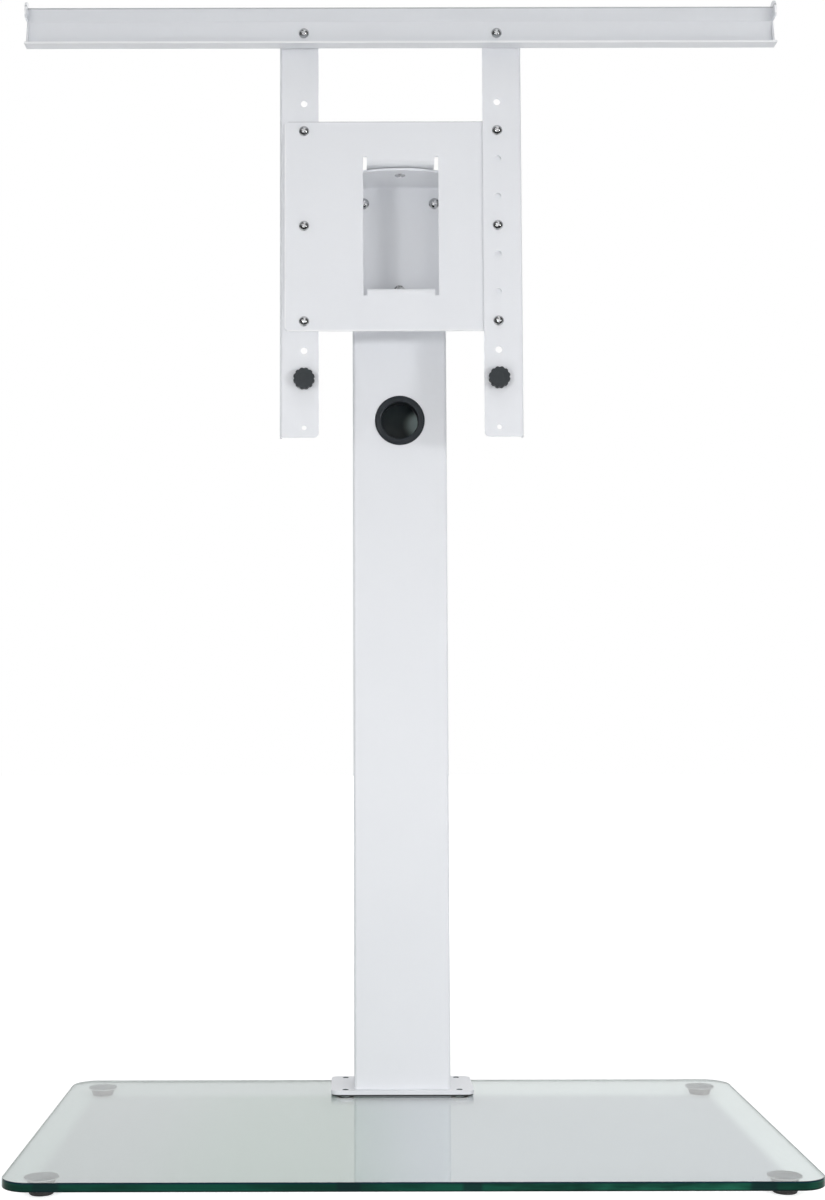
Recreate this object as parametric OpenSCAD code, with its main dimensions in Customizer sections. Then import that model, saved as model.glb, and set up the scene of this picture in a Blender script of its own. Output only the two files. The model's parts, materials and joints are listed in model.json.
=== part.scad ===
// Floor stand for a television: glass base, steel column, swivelling mount head
// with two arms, a top rail and two adjustable bumper knobs.
// The front faces -Y, +Z is up, and the origin lies on the floor under the glass's centre.

/* [Glass base] */
// Width of the glass
glass_w = 700; // [600:10:900]
// Depth of the glass, front to back
glass_d = 420; // [360:10:520]
// Thickness of the glass
glass_t = 8; // [6:0.5:12]
// Radius of the glass's corners
glass_r = 25; // [16:1:30]
// Polished arris along the glass's edges
glass_arris = 0.8; // [0.3:0.1:1.5]

/* [Feet] */
// Height from the floor to the underside of the glass
foot_h = 8; // [8:0.5:16]
// Diameter of the disc bonded under the glass
disc_d = 30; // [26:1:36]
// Thickness of the bonded disc
disc_t = 1.2; // [0.8:0.1:2]
// Diameter of a rubber foot where it meets its disc
foot_top_d = 25; // [22:1:26]
// Diameter of a rubber foot on the floor
foot_floor_d = 20.5; // [14:0.5:22]
// Rounding round the bottom of a rubber foot
foot_edge_r = 1.5; // [0.8:0.1:2]
// Distance from a foot's centre to the glass's side edge
foot_inset_x = 33; // [30:1:45]
// Distance from a foot's centre to the glass's front or back edge
foot_inset_y = 28; // [27:1:45]

/* [Foot plate] */
// Width of the steel foot plate
sole_w = 148; // [140:1:180]
// Depth of the steel foot plate
sole_d = 76; // [74:1:96]
// Thickness of the steel foot plate
sole_t = 4; // [3:0.5:8]
// Radius of the foot plate's corners
sole_r = 8; // [3:0.5:10]
// Gap from the foot plate to the back edge of the glass
sole_back_gap = 8; // [4:1:30]
// Thickness of the rubber gasket under the foot plate
gasket_t = 1.5; // [1:0.1:3]
// How far the gasket stays inside the foot plate's edge
gasket_inset = 1; // [0.5:0.1:3]
// Distance between base bolts, side to side
base_bolt_x = 118; // [116:1:126]
// Distance between base bolts, front to back
base_bolt_y = 62; // [56:1:62]

/* [Column] */
// Width of the column
column_w = 100; // [84:1:102]
// Depth of the column
column_d = 60; // [56:1:70]
// Wall of the column
column_t = 2; // [1.5:0.1:3]
// Outer corner radius of the column
column_r = 3.5; // [3.2:0.1:6]
// Length of the column tube
column_h = 960; // [700:10:1200]
// Thickness of the cap that closes the column
cap_t = 3; // [2:0.5:6]
// Depth of the cap's skirt inside the tube
cap_skirt = 4; // [2:0.5:4.5]

/* [Cable grommets] */
// Outside diameter of a grommet's ring
grommet_d = 53; // [49:1:56]
// Clear opening through a grommet
grommet_bore = 39; // [30:1:40]
// Diameter of the grommet's sleeve and of its hole in the column
grommet_sleeve_d = 44; // [43:0.5:46]
// Thickness of the grommet's ring
grommet_ring_t = 2.6; // [2:0.1:4]
// Depth of the grommet's sleeve inside the column
grommet_sleeve_l = 14; // [8:1:18]
// Distance from the column's top to the front grommet's centre
front_grommet_drop = 260; // [200:5:400]
// Height of the rear grommet's centre above the foot plate
rear_grommet_rise = 75; // [50:5:200]

/* [Swivel bracket] */
// Width of the bracket
bracket_w = 96; // [88:1:100]
// Height of the bracket
bracket_h = 135; // [125:1:150]
// Depth of the bracket from the column to the front of its curved plates
bracket_d = 61.5; // [60:0.5:70]
// Sheet thickness of the bracket
bracket_t = 2.5; // [2:0.1:4]
// Inner bend radius of the bracket
bracket_bend_r = 3; // [2:0.5:6]
// Radius of the curved front edge of the bracket's two plates
bracket_arc_r = 100; // [80:5:140]
// Distance from the column's top down to the bracket's top
bracket_drop = 5.5; // [2:0.5:50]
// Distance from the pivot to the curved front edge
pivot_setback = 16.5; // [14:0.5:17]
// Distance between the two upper bracket screws
bracket_screw_x = 76; // [60:1:78]
// Height from the lower bracket screw to the upper ones
bracket_screw_z = 95; // [80:1:98]
// Largest turn of the head to either side, in degrees
swivel_limit = 20; // [5:1:22]

/* [Mount plate] */
// Distance from the arms' lines of holes to the mount plate's side edges
plate_side = 20; // [12:0.5:20.5]
// Distance from the mount plate's upper and lower screws to its edges
plate_end = 10; // [8:0.5:20]
// Sheet thickness of the mount plate
plate_t = 2.5; // [2:0.1:3]
// Corner radius of the mount plate
plate_r = 5; // [3:0.5:8]
// Gap left between the bracket's curved edge and the mount plate at full turn
turn_gap = 1.8; // [1:0.1:3]
// Width of the window in the mount plate
window_w = 78; // [74:1:100]
// Width of the relief slot beside each flap
slot_w = 4; // [2:0.5:5]
// How far a relief slot runs past the flap's bend
slot_run = 2.5; // [1:0.5:5]
// Inner bend radius of the flaps
flap_bend_r = 3; // [2:0.5:4]
// Side-to-side and top-to-bottom spacing of the plate's screws
plate_pitch = 200; // [190:1:206]

/* [Arms] */
// Width of an arm's front face
arm_w = 40; // [34:1:46]
// Sheet thickness of an arm
arm_t = 2; // [1.5:0.1:3]
// Depth of an arm over its folded edge
arm_d = 10; // [8:0.5:16]
// Inner bend radius of an arm
arm_bend_r = 1.5; // [1:0.1:3]
// Distance from an arm's inner edge to its line of holes
arm_hole_inset = 15; // [10:0.5:18]
// Diameter of the arm's holes
arm_hole_d = 7; // [6.6:0.1:7.4]
// Distance from a screw station to the free hole above or below it
arm_hole_step = 30; // [20:1:38]
// Radius of the arm's corners
arm_corner_r = 5; // [2:0.5:8]
// Diameter of the small hole near an arm's lower end
arm_end_hole_d = 5; // [4:0.1:6]

/* [Top rail] */
// Length of the rail
rail_l = 775; // [500:5:1000]
// Height of the rail
rail_h = 41.5; // [40:0.5:60]
// Sheet thickness of the rail
rail_t = 2; // [1.5:0.1:2.5]
// Depth of the rail's bottom lip in front of its web
lip_d = 16; // [12:0.5:24]
// Inner bend radius of the lip
lip_bend_r = 1.5; // [1:0.1:3]
// Height of the leaning band along the rail's top
band_h = 12.5; // [8:0.5:14]
// How far the band leans forward
band_lean = 8; // [4:0.5:12]
// Radius of the rounded ear at each end of the rail
ear_r = 12; // [10:0.5:14]
// How far an ear stands above the rail
ear_rise = 6; // [3:0.5:8]
// Depth of the small gusset between an ear and the lip
ear_gusset = 6.5; // [3:0.5:10]
// Height of the rail screws above the rail's underside
rail_screw_rise = 16.5; // [14:0.5:18]

/* [Bumper knobs] */
// Diameter of a knob
knob_d = 22; // [18:1:28]
// Thickness of a knob
knob_t = 8; // [7:0.5:12]
// Number of scallops round a knob
knob_scallops = 12; // [8:1:16]
// Depth of a scallop
knob_scallop_depth = 1; // [0.4:0.1:1.2]
// Radius of each scallop
knob_scallop_r = 2.4; // [1.5:0.1:3]
// Rounding of a knob's edges
knob_edge_r = 1.2; // [0.6:0.1:2]
// Gap between a knob and its arm when screwed right in
knob_gap = 1; // [0.5:0.1:3]
// Greatest distance that a knob is screwed out
knob_travel = 12; // [4:1:20]
// How far a stud still passes its nut when screwed right out
stud_spare = 6; // [2:0.5:10]

/* [Screws] */
// Diameter of the screws, bolts and studs
screw_d = 6; // [5:0.1:6.2]
// Diameter of the clearance holes for them
screw_hole_d = 6.5; // [6.4:0.1:6.6]
// Head diameter of the arm and rail screws
screw_head_d = 10.5; // [9.5:0.1:11]
// Head height of the arm and rail screws
screw_head_h = 3.2; // [2.5:0.1:4]
// Head diameter of the bracket screws and base bolts
big_head_d = 12; // [11:0.1:13]
// Head height of the bracket screws and base bolts
big_head_h = 3.4; // [3:0.1:3.6]
// Head diameter of the pivot bolts
pivot_head_d = 11; // [10:0.1:14]
// Head height of the pivot bolts
pivot_head_h = 2.4; // [2:0.1:4]
// Width across the flats of the nuts
nut_af = 10; // [9.5:0.1:11]
// Thickness of the nuts
nut_t = 5; // [4:0.1:6]

/* [Hidden] */
$fn = 64;

// Overrun of every cut, so that no cut ends flush with a face
over = 1;
// Radial play of a shank that turns or slides in its bore
running_play = 0.05;
// Play between a grommet or cap and the metal that it plugs
plug_play = 0.2;
// Play left above the head's two sliding faces
thrust_play = 0.1;
// Sides of a hexagon nut
hex_sides = 6;

// Paint and material colours
white_paint = [0.9, 0.91, 0.92];
black_plastic = [0.1, 0.11, 0.12];
rubber_black = [0.06, 0.06, 0.06];
zinc = [0.72, 0.73, 0.75];
nylon = [0.85, 0.85, 0.82];
glass_green = [0.55, 0.75, 0.7, 0.5];

// Heights of the base's layers
glass_top = foot_h + glass_t;
sole_z = glass_top + gasket_t;
sole_top = sole_z + sole_t;
column_top = sole_top + column_h;

// Middle of the foot plate and of the column, front to back
column_y = glass_d / 2 - sole_back_gap - sole_d / 2;
column_front = column_y - column_d / 2;
column_back = column_y + column_d / 2;
column_inner_w = column_w - 2 * column_t;
column_inner_d = column_d - 2 * column_t;
column_inner_r = column_r - column_t;

// Bracket
bracket_top = column_top - bracket_drop;
bracket_bottom = bracket_top - bracket_h;
bracket_z = (bracket_top + bracket_bottom) / 2;
bracket_front = column_front - bracket_d;
web_front = column_front - bracket_t;
pivot_y = bracket_front + pivot_setback;
bracket_screw_high = bracket_z + bracket_screw_z / 2;
bracket_screw_low = bracket_z - bracket_screw_z / 2;
// Screw places as [x, z]
bracket_screw_at = [
    [-bracket_screw_x / 2, bracket_screw_high], [bracket_screw_x / 2, bracket_screw_high],
    [0, bracket_screw_low]
];

// Friction washers between the bracket's plates and the flaps
friction_t = 0.9;
friction_d = 26;
steel_washer_t = 1.5;
steel_washer_d = 18;
rubber_washer_t = 1.4;
flap_seat = friction_t + thrust_play;

// Mount plate: the flaps' outer faces look at each other across the window
arc_centre_y = bracket_front + bracket_arc_r;
// Distance from the pivot to the bracket's curved edge, square to the fully turned plate
turn_reach = bracket_arc_r - (arc_centre_y - pivot_y) * cos(swivel_limit);
plate_back = pivot_y - turn_reach - turn_gap;
plate_front = plate_back - plate_t;
top_flap_under = bracket_top + flap_seat;
low_flap_under = bracket_bottom + bracket_t + flap_seat;
low_flap_over = low_flap_under + plate_t;
head_z = (top_flap_under + low_flap_over) / 2;
flap_gap = top_flap_under - low_flap_over;
flap_w = window_w - 2 * slot_w;
flap_outer_r = flap_bend_r + plate_t;
window_h = flap_gap + 2 * flap_outer_r;
slot_h = window_h + 2 * slot_run;
top_station = head_z + plate_pitch / 2;
low_station = head_z - plate_pitch / 2;
station_step = plate_pitch / 2;
plate_w = plate_pitch + 2 * plate_side;
plate_h = plate_pitch + 2 * plate_end;
stations = [for (row = [0:2]) top_station - row * station_step];

// Arms: the left one lies behind the plate, the right one in front of it
left_arm_front = plate_back;
right_arm_front = plate_front - arm_t;
arm_line = plate_pitch / 2;
arm_inner = arm_line - arm_hole_inset;
arm_outer = arm_inner + arm_w;
knob_z = low_station - 2 * arm_hole_step;
end_hole_drop = 50;
end_hole_z = knob_z - end_hole_drop;
end_hole_margin = 10;
arm_bottom = end_hole_z - end_hole_margin;
rail_rise = 102.5;
rail_screw_z = top_station + rail_rise;
arm_top_margin = 10;
arm_top = rail_screw_z + arm_top_margin;
arm_h = arm_top - arm_bottom;
// Clearance holes for screws, and the wider free holes between them
arm_screw_heights = concat([rail_screw_z], stations, [knob_z]);
arm_free_heights = [for (z = stations) for (side = [-1, 1]) z + side * arm_hole_step];

// Rail
rail_bottom = rail_screw_z - rail_screw_rise;
rail_top = rail_bottom + rail_h;
rail_back = right_arm_front;
rail_front = rail_back - rail_t;
crease_h = rail_h - band_h;
band_angle = atan(band_lean / band_h);
spacer_t = left_arm_front - rail_back;
spacer_d = 14;

// Knobs
knob_face_t = 2;
knob_bore_depth = knob_t - knob_face_t;
stud_l = knob_gap + arm_t + nut_t + knob_travel + stud_spare;
stud_in_knob = knob_bore_depth - thrust_play;
stud_tip = 1;
knob_dimple_d = 12;
knob_dimple_depth = 0.4;

// Grommets: rounding of the ring's edge, and the barb that holds the sleeve behind the wall
ring_edge_r = 1.8;
sleeve_barb = 0.8;

// Screw lengths under the head
thread_past_nut = 2;
arm_screw_l = plate_t + arm_t + nut_t + thread_past_nut;
right_rail_screw_l = rail_t + arm_t + nut_t + thread_past_nut;
left_rail_screw_l = right_rail_screw_l + spacer_t;
bracket_screw_l = bracket_t + column_t + nut_t + thread_past_nut;
pivot_washer_t = 1.2;
// Height above a bracket plate's underside of what clamps the flap from above
clamp_rise = bracket_t + flap_seat + plate_t + thrust_play;
pivot_bolt_l = clamp_rise + pivot_washer_t + nut_t + thread_past_nut;
bolt_recess = 0.8;
washer_stack = steel_washer_t + rubber_washer_t;
base_bolt_l = washer_stack + glass_t + gasket_t + sole_t - bolt_recess;
sleeve_d = 10;
head_rim_h = 0.6;
head_ledge = 0.15;
recess_w_share = 0.12;
recess_l_share = 0.5;
recess_depth_share = 0.45;
recess_turn = 20;

// Flat shapes

module rounded_rect(w, d, r) {
    square([w - 2 * r, d], center = true);
    square([w, d - 2 * r], center = true);
    for (side_x = [-1, 1], side_y = [-1, 1])
        translate([side_x * (w / 2 - r), side_y * (d / 2 - r)]) circle(r);
}

// Quarter of a ring in the first quadrant, the section of a right-angle bend
module bend_section(inner_r, t) {
    intersection() {
        difference() {
            circle(inner_r + t);
            circle(inner_r);
        }
        square(inner_r + t);
    }
}

// Section of a domed screw head above z = 0, for turning: a rim, a small ledge and the dome
module dome_section(r, h, rim) {
    cap_h = h - rim;
    foot_r = r - head_ledge;
    dome_r = (foot_r * foot_r + cap_h * cap_h) / (2 * cap_h);
    square([r, rim]);
    intersection() {
        translate([0, h - dome_r]) circle(dome_r);
        translate([0, rim]) square([r, cap_h]);
    }
}

// Solid helpers

// Extrudes a flat shape drawn as [y, z] along X, centred on X = 0
module along_x(length) {
    translate([-length / 2, 0, 0])
        rotate([90, 0, 90]) linear_extrude(length) children();
}

// Extrudes a flat shape drawn as [x, z] from the depth y0 to the depth y1
module along_y(y0, y1) {
    translate([0, y1, 0]) rotate([90, 0, 0]) linear_extrude(y1 - y0) children();
}

// A cylinder along Y from the depth y0 to the depth y1
module rod_y(x, z, d, y0, y1) {
    translate([x, y0, z]) rotate([-90, 0, 0]) cylinder(h = y1 - y0, d = d);
}

module ring(outer_d, inner_d, t) {
    difference() {
        cylinder(h = t, d = outer_d);
        translate([0, 0, -over]) cylinder(h = t + 2 * over, d = inner_d);
    }
}

module chamfered_slab(w, d, t, r, c) {
    module section(span) {
        half = span / 2;
        polygon([
            [-half, c], [-half + c, 0], [half - c, 0], [half, c],
            [half, t - c], [half - c, t], [-half + c, t], [-half, t - c]
        ]);
    }
    along_x(w - 2 * r) section(d);
    rotate([0, 0, 90]) along_x(d - 2 * r) section(w);
    for (side_x = [-1, 1], side_y = [-1, 1])
        translate([side_x * (w / 2 - r), side_y * (d / 2 - r), 0])
            rotate_extrude()
                polygon([[0, 0], [r - c, 0], [r, c], [r, t - c], [r - c, t], [0, t]]);
}

// A screw whose head sits on z = 0 below it and whose shank points up
module screw(head_d, head_h, length) {
    recess_l = head_d * recess_l_share;
    recess_w = head_d * recess_w_share;
    recess_depth = head_h * recess_depth_share;
    difference() {
        mirror([0, 0, 1]) rotate_extrude() dome_section(head_d / 2, head_h, head_rim_h);
        translate([0, 0, -head_h - over]) rotate(recess_turn) linear_extrude(recess_depth + over) {
            square([recess_l, recess_w], center = true);
            square([recess_w, recess_l], center = true);
        }
    }
    cylinder(h = length, d = screw_d);
}

// A hexagon nut standing on z = 0
module nut() {
    difference() {
        cylinder(h = nut_t, d = nut_af / cos(180 / hex_sides), $fn = hex_sides);
        translate([0, 0, -over]) cylinder(h = nut_t + 2 * over, d = screw_d + 2 * running_play);
    }
}

// Turns a piece that points up so that it points to the back, at the place [x, y, z]
module facing_back(x, y, z) {
    translate([x, y, z]) rotate([-90, 0, 0]) children();
}

// Base

module at_feet() {
    for (side_x = [-1, 1], side_y = [-1, 1])
        translate([side_x * (glass_w / 2 - foot_inset_x), side_y * (glass_d / 2 - foot_inset_y), 0])
            children();
}

module at_base_bolts() {
    for (side_x = [-1, 1], side_y = [-1, 1])
        translate([side_x * base_bolt_x / 2, column_y + side_y * base_bolt_y / 2, 0]) children();
}

module glass_base() {
    color(glass_green) difference() {
        translate([0, 0, foot_h]) chamfered_slab(glass_w, glass_d, glass_t, glass_r, glass_arris);
        at_base_bolts() translate([0, 0, foot_h - over]) cylinder(h = glass_t + 2 * over, d = sleeve_d);
    }
}

module foot_discs() {
    color("silver") at_feet() translate([0, 0, foot_h - disc_t]) cylinder(h = disc_t, d = disc_d);
}

module rubber_feet() {
    top_z = foot_h - disc_t;
    floor_r = foot_floor_d / 2;
    color(rubber_black) at_feet() rotate_extrude() {
        polygon([
            [0, 0], [floor_r - foot_edge_r, 0], [floor_r - foot_edge_r, foot_edge_r],
            [floor_r, foot_edge_r], [foot_top_d / 2, top_z], [0, top_z]
        ]);
        intersection() {
            translate([floor_r - foot_edge_r, foot_edge_r]) circle(foot_edge_r);
            translate([floor_r - foot_edge_r, 0]) square(foot_edge_r);
        }
    }
}

module base_gasket() {
    color(rubber_black) difference() {
        translate([0, column_y, glass_top]) linear_extrude(gasket_t)
            rounded_rect(sole_w - 2 * gasket_inset, sole_d - 2 * gasket_inset, sole_r - gasket_inset);
        at_base_bolts() translate([0, 0, glass_top - over])
            cylinder(h = gasket_t + 2 * over, d = screw_hole_d);
    }
}

module foot_plate() {
    color(white_paint) difference() {
        translate([0, column_y, sole_z]) linear_extrude(sole_t) rounded_rect(sole_w, sole_d, sole_r);
        at_base_bolts() translate([0, 0, sole_z - over])
            cylinder(h = sole_t + 2 * over, d = screw_d + 2 * running_play);
    }
}

module glass_sleeves() {
    color(nylon) at_base_bolts() translate([0, 0, foot_h])
        ring(sleeve_d - 2 * running_play, screw_hole_d, glass_t);
}

module rubber_washers() {
    color(rubber_black) at_base_bolts() translate([0, 0, foot_h - rubber_washer_t])
        ring(steel_washer_d, screw_hole_d, rubber_washer_t);
}

module steel_washers() {
    color(zinc) at_base_bolts() translate([0, 0, foot_h - washer_stack])
        ring(steel_washer_d, screw_hole_d, steel_washer_t);
}

module base_bolts() {
    color(zinc) at_base_bolts() translate([0, 0, foot_h - washer_stack])
        screw(big_head_d, big_head_h, base_bolt_l);
}

// Column

module column() {
    color(white_paint) difference() {
        translate([0, column_y, sole_top]) linear_extrude(column_h) difference() {
            rounded_rect(column_w, column_d, column_r);
            rounded_rect(column_inner_w, column_inner_d, column_inner_r);
        }
        rod_y(0, column_top - front_grommet_drop, grommet_sleeve_d, column_front - over, column_y);
        rod_y(0, sole_top + rear_grommet_rise, grommet_sleeve_d, column_y, column_back + over);
        for (place = bracket_screw_at)
            rod_y(place[0], place[1], screw_hole_d, column_front - over, column_y);
    }
}

module column_cap() {
    skirt_w = column_inner_w - 2 * plug_play;
    skirt_d = column_inner_d - 2 * plug_play;
    color(white_paint) translate([0, column_y, column_top]) {
        linear_extrude(cap_t) rounded_rect(column_w, column_d, column_r);
        translate([0, 0, -cap_skirt]) linear_extrude(cap_skirt) difference() {
            rounded_rect(skirt_w, skirt_d, column_inner_r);
            rounded_rect(skirt_w - 2 * column_t, skirt_d - 2 * column_t, column_inner_r);
        }
    }
}

module column_weld_nuts() {
    color(zinc) for (place = bracket_screw_at)
        facing_back(place[0], column_front + column_t, place[1]) nut();
}

// A grommet whose ring sits on z = 0 below it and whose sleeve points up through the wall
module grommet() {
    sleeve_od = grommet_sleeve_d - 2 * plug_play;
    ring_r = grommet_d / 2;
    difference() {
        union() {
            mirror([0, 0, 1]) rotate_extrude() {
                square([ring_r - ring_edge_r, grommet_ring_t]);
                square([ring_r, grommet_ring_t - ring_edge_r]);
                translate([ring_r - ring_edge_r, grommet_ring_t - ring_edge_r]) intersection() {
                    circle(ring_edge_r);
                    square(ring_edge_r);
                }
            }
            cylinder(h = grommet_sleeve_l, d = sleeve_od);
            translate([0, 0, column_t + plug_play])
                cylinder(h = column_t, d1 = grommet_sleeve_d + 2 * sleeve_barb, d2 = sleeve_od);
        }
        translate([0, 0, -grommet_ring_t - over])
            cylinder(h = grommet_ring_t + grommet_sleeve_l + 2 * over, d = grommet_bore);
    }
}

module front_grommet() {
    color(black_plastic) facing_back(0, column_front, column_top - front_grommet_drop) grommet();
}

module rear_grommet() {
    color(black_plastic) translate([0, column_back, sole_top + rear_grommet_rise])
        rotate([90, 0, 0]) grommet();
}

// Swivel bracket and pivots

module swivel_bracket() {
    outer_r = bracket_bend_r + bracket_t;
    middle_y = column_front - bracket_d / 2;
    // Side section: a C that opens to the front, with rounded bends at the back
    module side_section() {
        difference() {
            union() {
                translate([bracket_front - over, bracket_bottom])
                    square([bracket_d + over - outer_r, bracket_h]);
                translate([column_front - outer_r - over, bracket_bottom + outer_r])
                    square([outer_r + over, bracket_h - 2 * outer_r]);
                for (z = [bracket_bottom + outer_r, bracket_top - outer_r])
                    translate([column_front - outer_r, z]) circle(outer_r);
            }
            translate([bracket_front - 2 * over, bracket_bottom + bracket_t])
                square([web_front - bracket_bend_r - bracket_front + 2 * over, bracket_h - 2 * bracket_t]);
            translate([middle_y, bracket_bottom + outer_r])
                square([web_front - middle_y, bracket_h - 2 * outer_r]);
            for (z = [bracket_bottom + outer_r, bracket_top - outer_r])
                translate([web_front - bracket_bend_r, z]) circle(bracket_bend_r);
        }
    }
    color(white_paint) difference() {
        intersection() {
            along_x(bracket_w) side_section();
            translate([0, 0, bracket_bottom - over]) linear_extrude(bracket_h + 2 * over)
                intersection() {
                    translate([-bracket_w, bracket_front]) square([2 * bracket_w, bracket_d]);
                    translate([0, bracket_front + bracket_arc_r]) circle(bracket_arc_r);
                }
        }
        for (place = bracket_screw_at)
            rod_y(place[0], place[1], screw_hole_d, web_front - over, column_front + over);
        translate([0, pivot_y, bracket_bottom - over])
            cylinder(h = bracket_h + 2 * over, d = screw_d + 2 * running_play);
    }
}

module bracket_screws() {
    color(zinc) for (place = bracket_screw_at)
        facing_back(place[0], web_front, place[1]) screw(big_head_d, big_head_h, bracket_screw_l);
}

// Places a piece on the pivot axis at the underside of each of the bracket's plates
module at_pivots() {
    for (z = [bracket_bottom, bracket_top - bracket_t]) translate([0, pivot_y, z]) children();
}

module pivot_bolts() {
    color(zinc) at_pivots() screw(pivot_head_d, pivot_head_h, pivot_bolt_l);
}

module friction_washers() {
    color(nylon) at_pivots() translate([0, 0, bracket_t])
        ring(friction_d, screw_d + 2 * running_play, friction_t);
}

module pivot_washers() {
    color(zinc) at_pivots() translate([0, 0, clamp_rise])
        ring(steel_washer_d, screw_d + 2 * running_play, pivot_washer_t);
}

module pivot_lock_nuts() {
    color(zinc) at_pivots() translate([0, 0, clamp_rise + pivot_washer_t]) nut();
}

// Mount head

module mount_plate() {
    flap_end_r = flap_w / 2;
    // Side section of the upper flap, whose outer face is its underside
    module flap_section() {
        translate([plate_front + flap_outer_r, top_flap_under + flap_outer_r]) rotate(180)
            bend_section(flap_bend_r, plate_t);
        translate([plate_front + flap_outer_r, top_flap_under])
            square([pivot_y + flap_end_r - plate_front, plate_t]);
    }
    module flap_outline() {
        translate([-flap_w / 2, plate_front - over]) square([flap_w, pivot_y - plate_front + over]);
        translate([0, pivot_y]) circle(flap_end_r);
    }
    module flap() {
        intersection() {
            along_x(flap_w) flap_section();
            translate([0, 0, top_flap_under - over])
                linear_extrude(flap_outer_r + 2 * over) flap_outline();
        }
    }
    color(white_paint) difference() {
        union() {
            along_y(plate_front, plate_back) difference() {
                translate([0, head_z]) rounded_rect(plate_w, plate_h, plate_r);
                translate([0, head_z]) square([flap_w, window_h], center = true);
                for (side = [-1, 1])
                    translate([side * (window_w - slot_w) / 2, head_z])
                        square([slot_w, slot_h], center = true);
            }
            flap();
            translate([0, 0, 2 * head_z]) mirror([0, 0, 1]) flap();
        }
        translate([0, pivot_y, low_flap_under - over])
            cylinder(h = window_h + 2 * flap_outer_r, d = screw_d + 2 * running_play);
        for (side = [-1, 1], z = stations)
            rod_y(side * arm_line, z, screw_hole_d, plate_front - over, plate_back + over);
    }
}

// An arm with its front face at y = 0, its hole line at x = 0 and its fold on the side of +X
module arm() {
    outer_r = arm_bend_r + arm_t;
    inner_x = -arm_hole_inset;
    outer_x = arm_w - arm_hole_inset;
    // Section across the arm, drawn as [x, y]
    module section() {
        translate([inner_x, 0]) square([arm_w - outer_r, arm_t]);
        translate([outer_x - outer_r, outer_r]) rotate(-90) bend_section(arm_bend_r, arm_t);
        translate([outer_x - arm_t, outer_r]) square([arm_t, arm_d - outer_r]);
    }
    // Front outline, with rounded corners on the inner side and at the fold's ends
    module outline() {
        translate([inner_x + arm_w / 2, arm_bottom + arm_h / 2]) rounded_rect(arm_w, arm_h, arm_corner_r);
        translate([outer_x - outer_r - arm_t, arm_bottom]) square([outer_r + arm_t, arm_h]);
    }
    difference() {
        intersection() {
            translate([0, 0, arm_bottom]) linear_extrude(arm_h) section();
            along_y(-over, arm_d + over) outline();
        }
        for (z = arm_screw_heights) rod_y(0, z, screw_hole_d, -over, arm_t + over);
        for (z = arm_free_heights) rod_y(0, z, arm_hole_d, -over, arm_t + over);
        rod_y(0, end_hole_z, arm_end_hole_d, -over, arm_t + over);
    }
}

module left_arm() {
    color(white_paint) translate([-arm_line, left_arm_front, 0]) mirror([1, 0, 0]) arm();
}

module right_arm() {
    color(white_paint) translate([arm_line, right_arm_front, 0]) arm();
}

module arm_screws() {
    color(zinc) for (z = stations) {
        facing_back(-arm_line, plate_front, z) screw(screw_head_d, screw_head_h, arm_screw_l);
        facing_back(arm_line, right_arm_front, z) screw(screw_head_d, screw_head_h, arm_screw_l);
    }
}

module arm_nuts() {
    color(zinc) for (z = stations) {
        facing_back(-arm_line, left_arm_front + arm_t, z) nut();
        facing_back(arm_line, plate_back, z) nut();
    }
}

// Top rail

module top_rail() {
    lip_outer_r = lip_bend_r + rail_t;
    web_foot = lip_outer_r;
    lean_run = rail_t * cos(band_angle);
    lean_drop = rail_t * sin(band_angle);
    crease_front = crease_h - rail_t * tan(band_angle / 2);
    // Section drawn as [y, z] from the rail's back face and underside
    module section() {
        polygon([
            [0, web_foot], [0, crease_h], [-band_lean, rail_h],
            [-band_lean - lean_run, rail_h - lean_drop], [-rail_t, crease_front], [-rail_t, web_foot]
        ]);
        translate([-lip_outer_r, lip_outer_r]) rotate(-90) bend_section(lip_bend_r, rail_t);
        translate([-rail_t - lip_d, 0]) square([lip_d + rail_t - lip_outer_r, rail_t]);
    }
    // End tab: a rounded ear above, and a narrow gusset down to the lip
    module ear() {
        intersection() {
            translate([-rail_t - band_lean / 2, rail_h + ear_rise - ear_r]) circle(ear_r);
            translate([-rail_t - band_lean / 2 - ear_r, crease_front])
                square([rail_t + band_lean / 2 + ear_r, ear_r * 2]);
        }
        polygon([
            [0, web_foot], [0, crease_h], [-rail_t, crease_front + rail_t],
            [-rail_t - ear_gusset, rail_t], [-lip_outer_r, rail_t], [-lip_outer_r, web_foot]
        ]);
    }
    color(white_paint) difference() {
        translate([0, rail_back, rail_bottom]) {
            along_x(rail_l) section();
            for (side = [-1, 1]) translate([side * (rail_l - rail_t) / 2, 0, 0]) along_x(rail_t) ear();
        }
        for (side = [-1, 1])
            rod_y(side * arm_line, rail_screw_z, screw_hole_d, rail_front - over, rail_back + over);
    }
}

module rail_spacer() {
    color(zinc) facing_back(-arm_line, rail_back, rail_screw_z) ring(spacer_d, screw_hole_d, spacer_t);
}

module rail_screws() {
    color(zinc) {
        facing_back(-arm_line, rail_front, rail_screw_z)
            screw(screw_head_d, screw_head_h, left_rail_screw_l);
        facing_back(arm_line, rail_front, rail_screw_z)
            screw(screw_head_d, screw_head_h, right_rail_screw_l);
    }
}

module rail_nuts() {
    color(zinc) {
        facing_back(-arm_line, left_arm_front + arm_t, rail_screw_z) nut();
        facing_back(arm_line, right_arm_front + arm_t, rail_screw_z) nut();
    }
}

// Bumper knobs

module knob_nuts() {
    color(zinc) {
        facing_back(-arm_line, left_arm_front + arm_t, knob_z) nut();
        facing_back(arm_line, right_arm_front + arm_t, knob_z) nut();
    }
}

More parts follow.
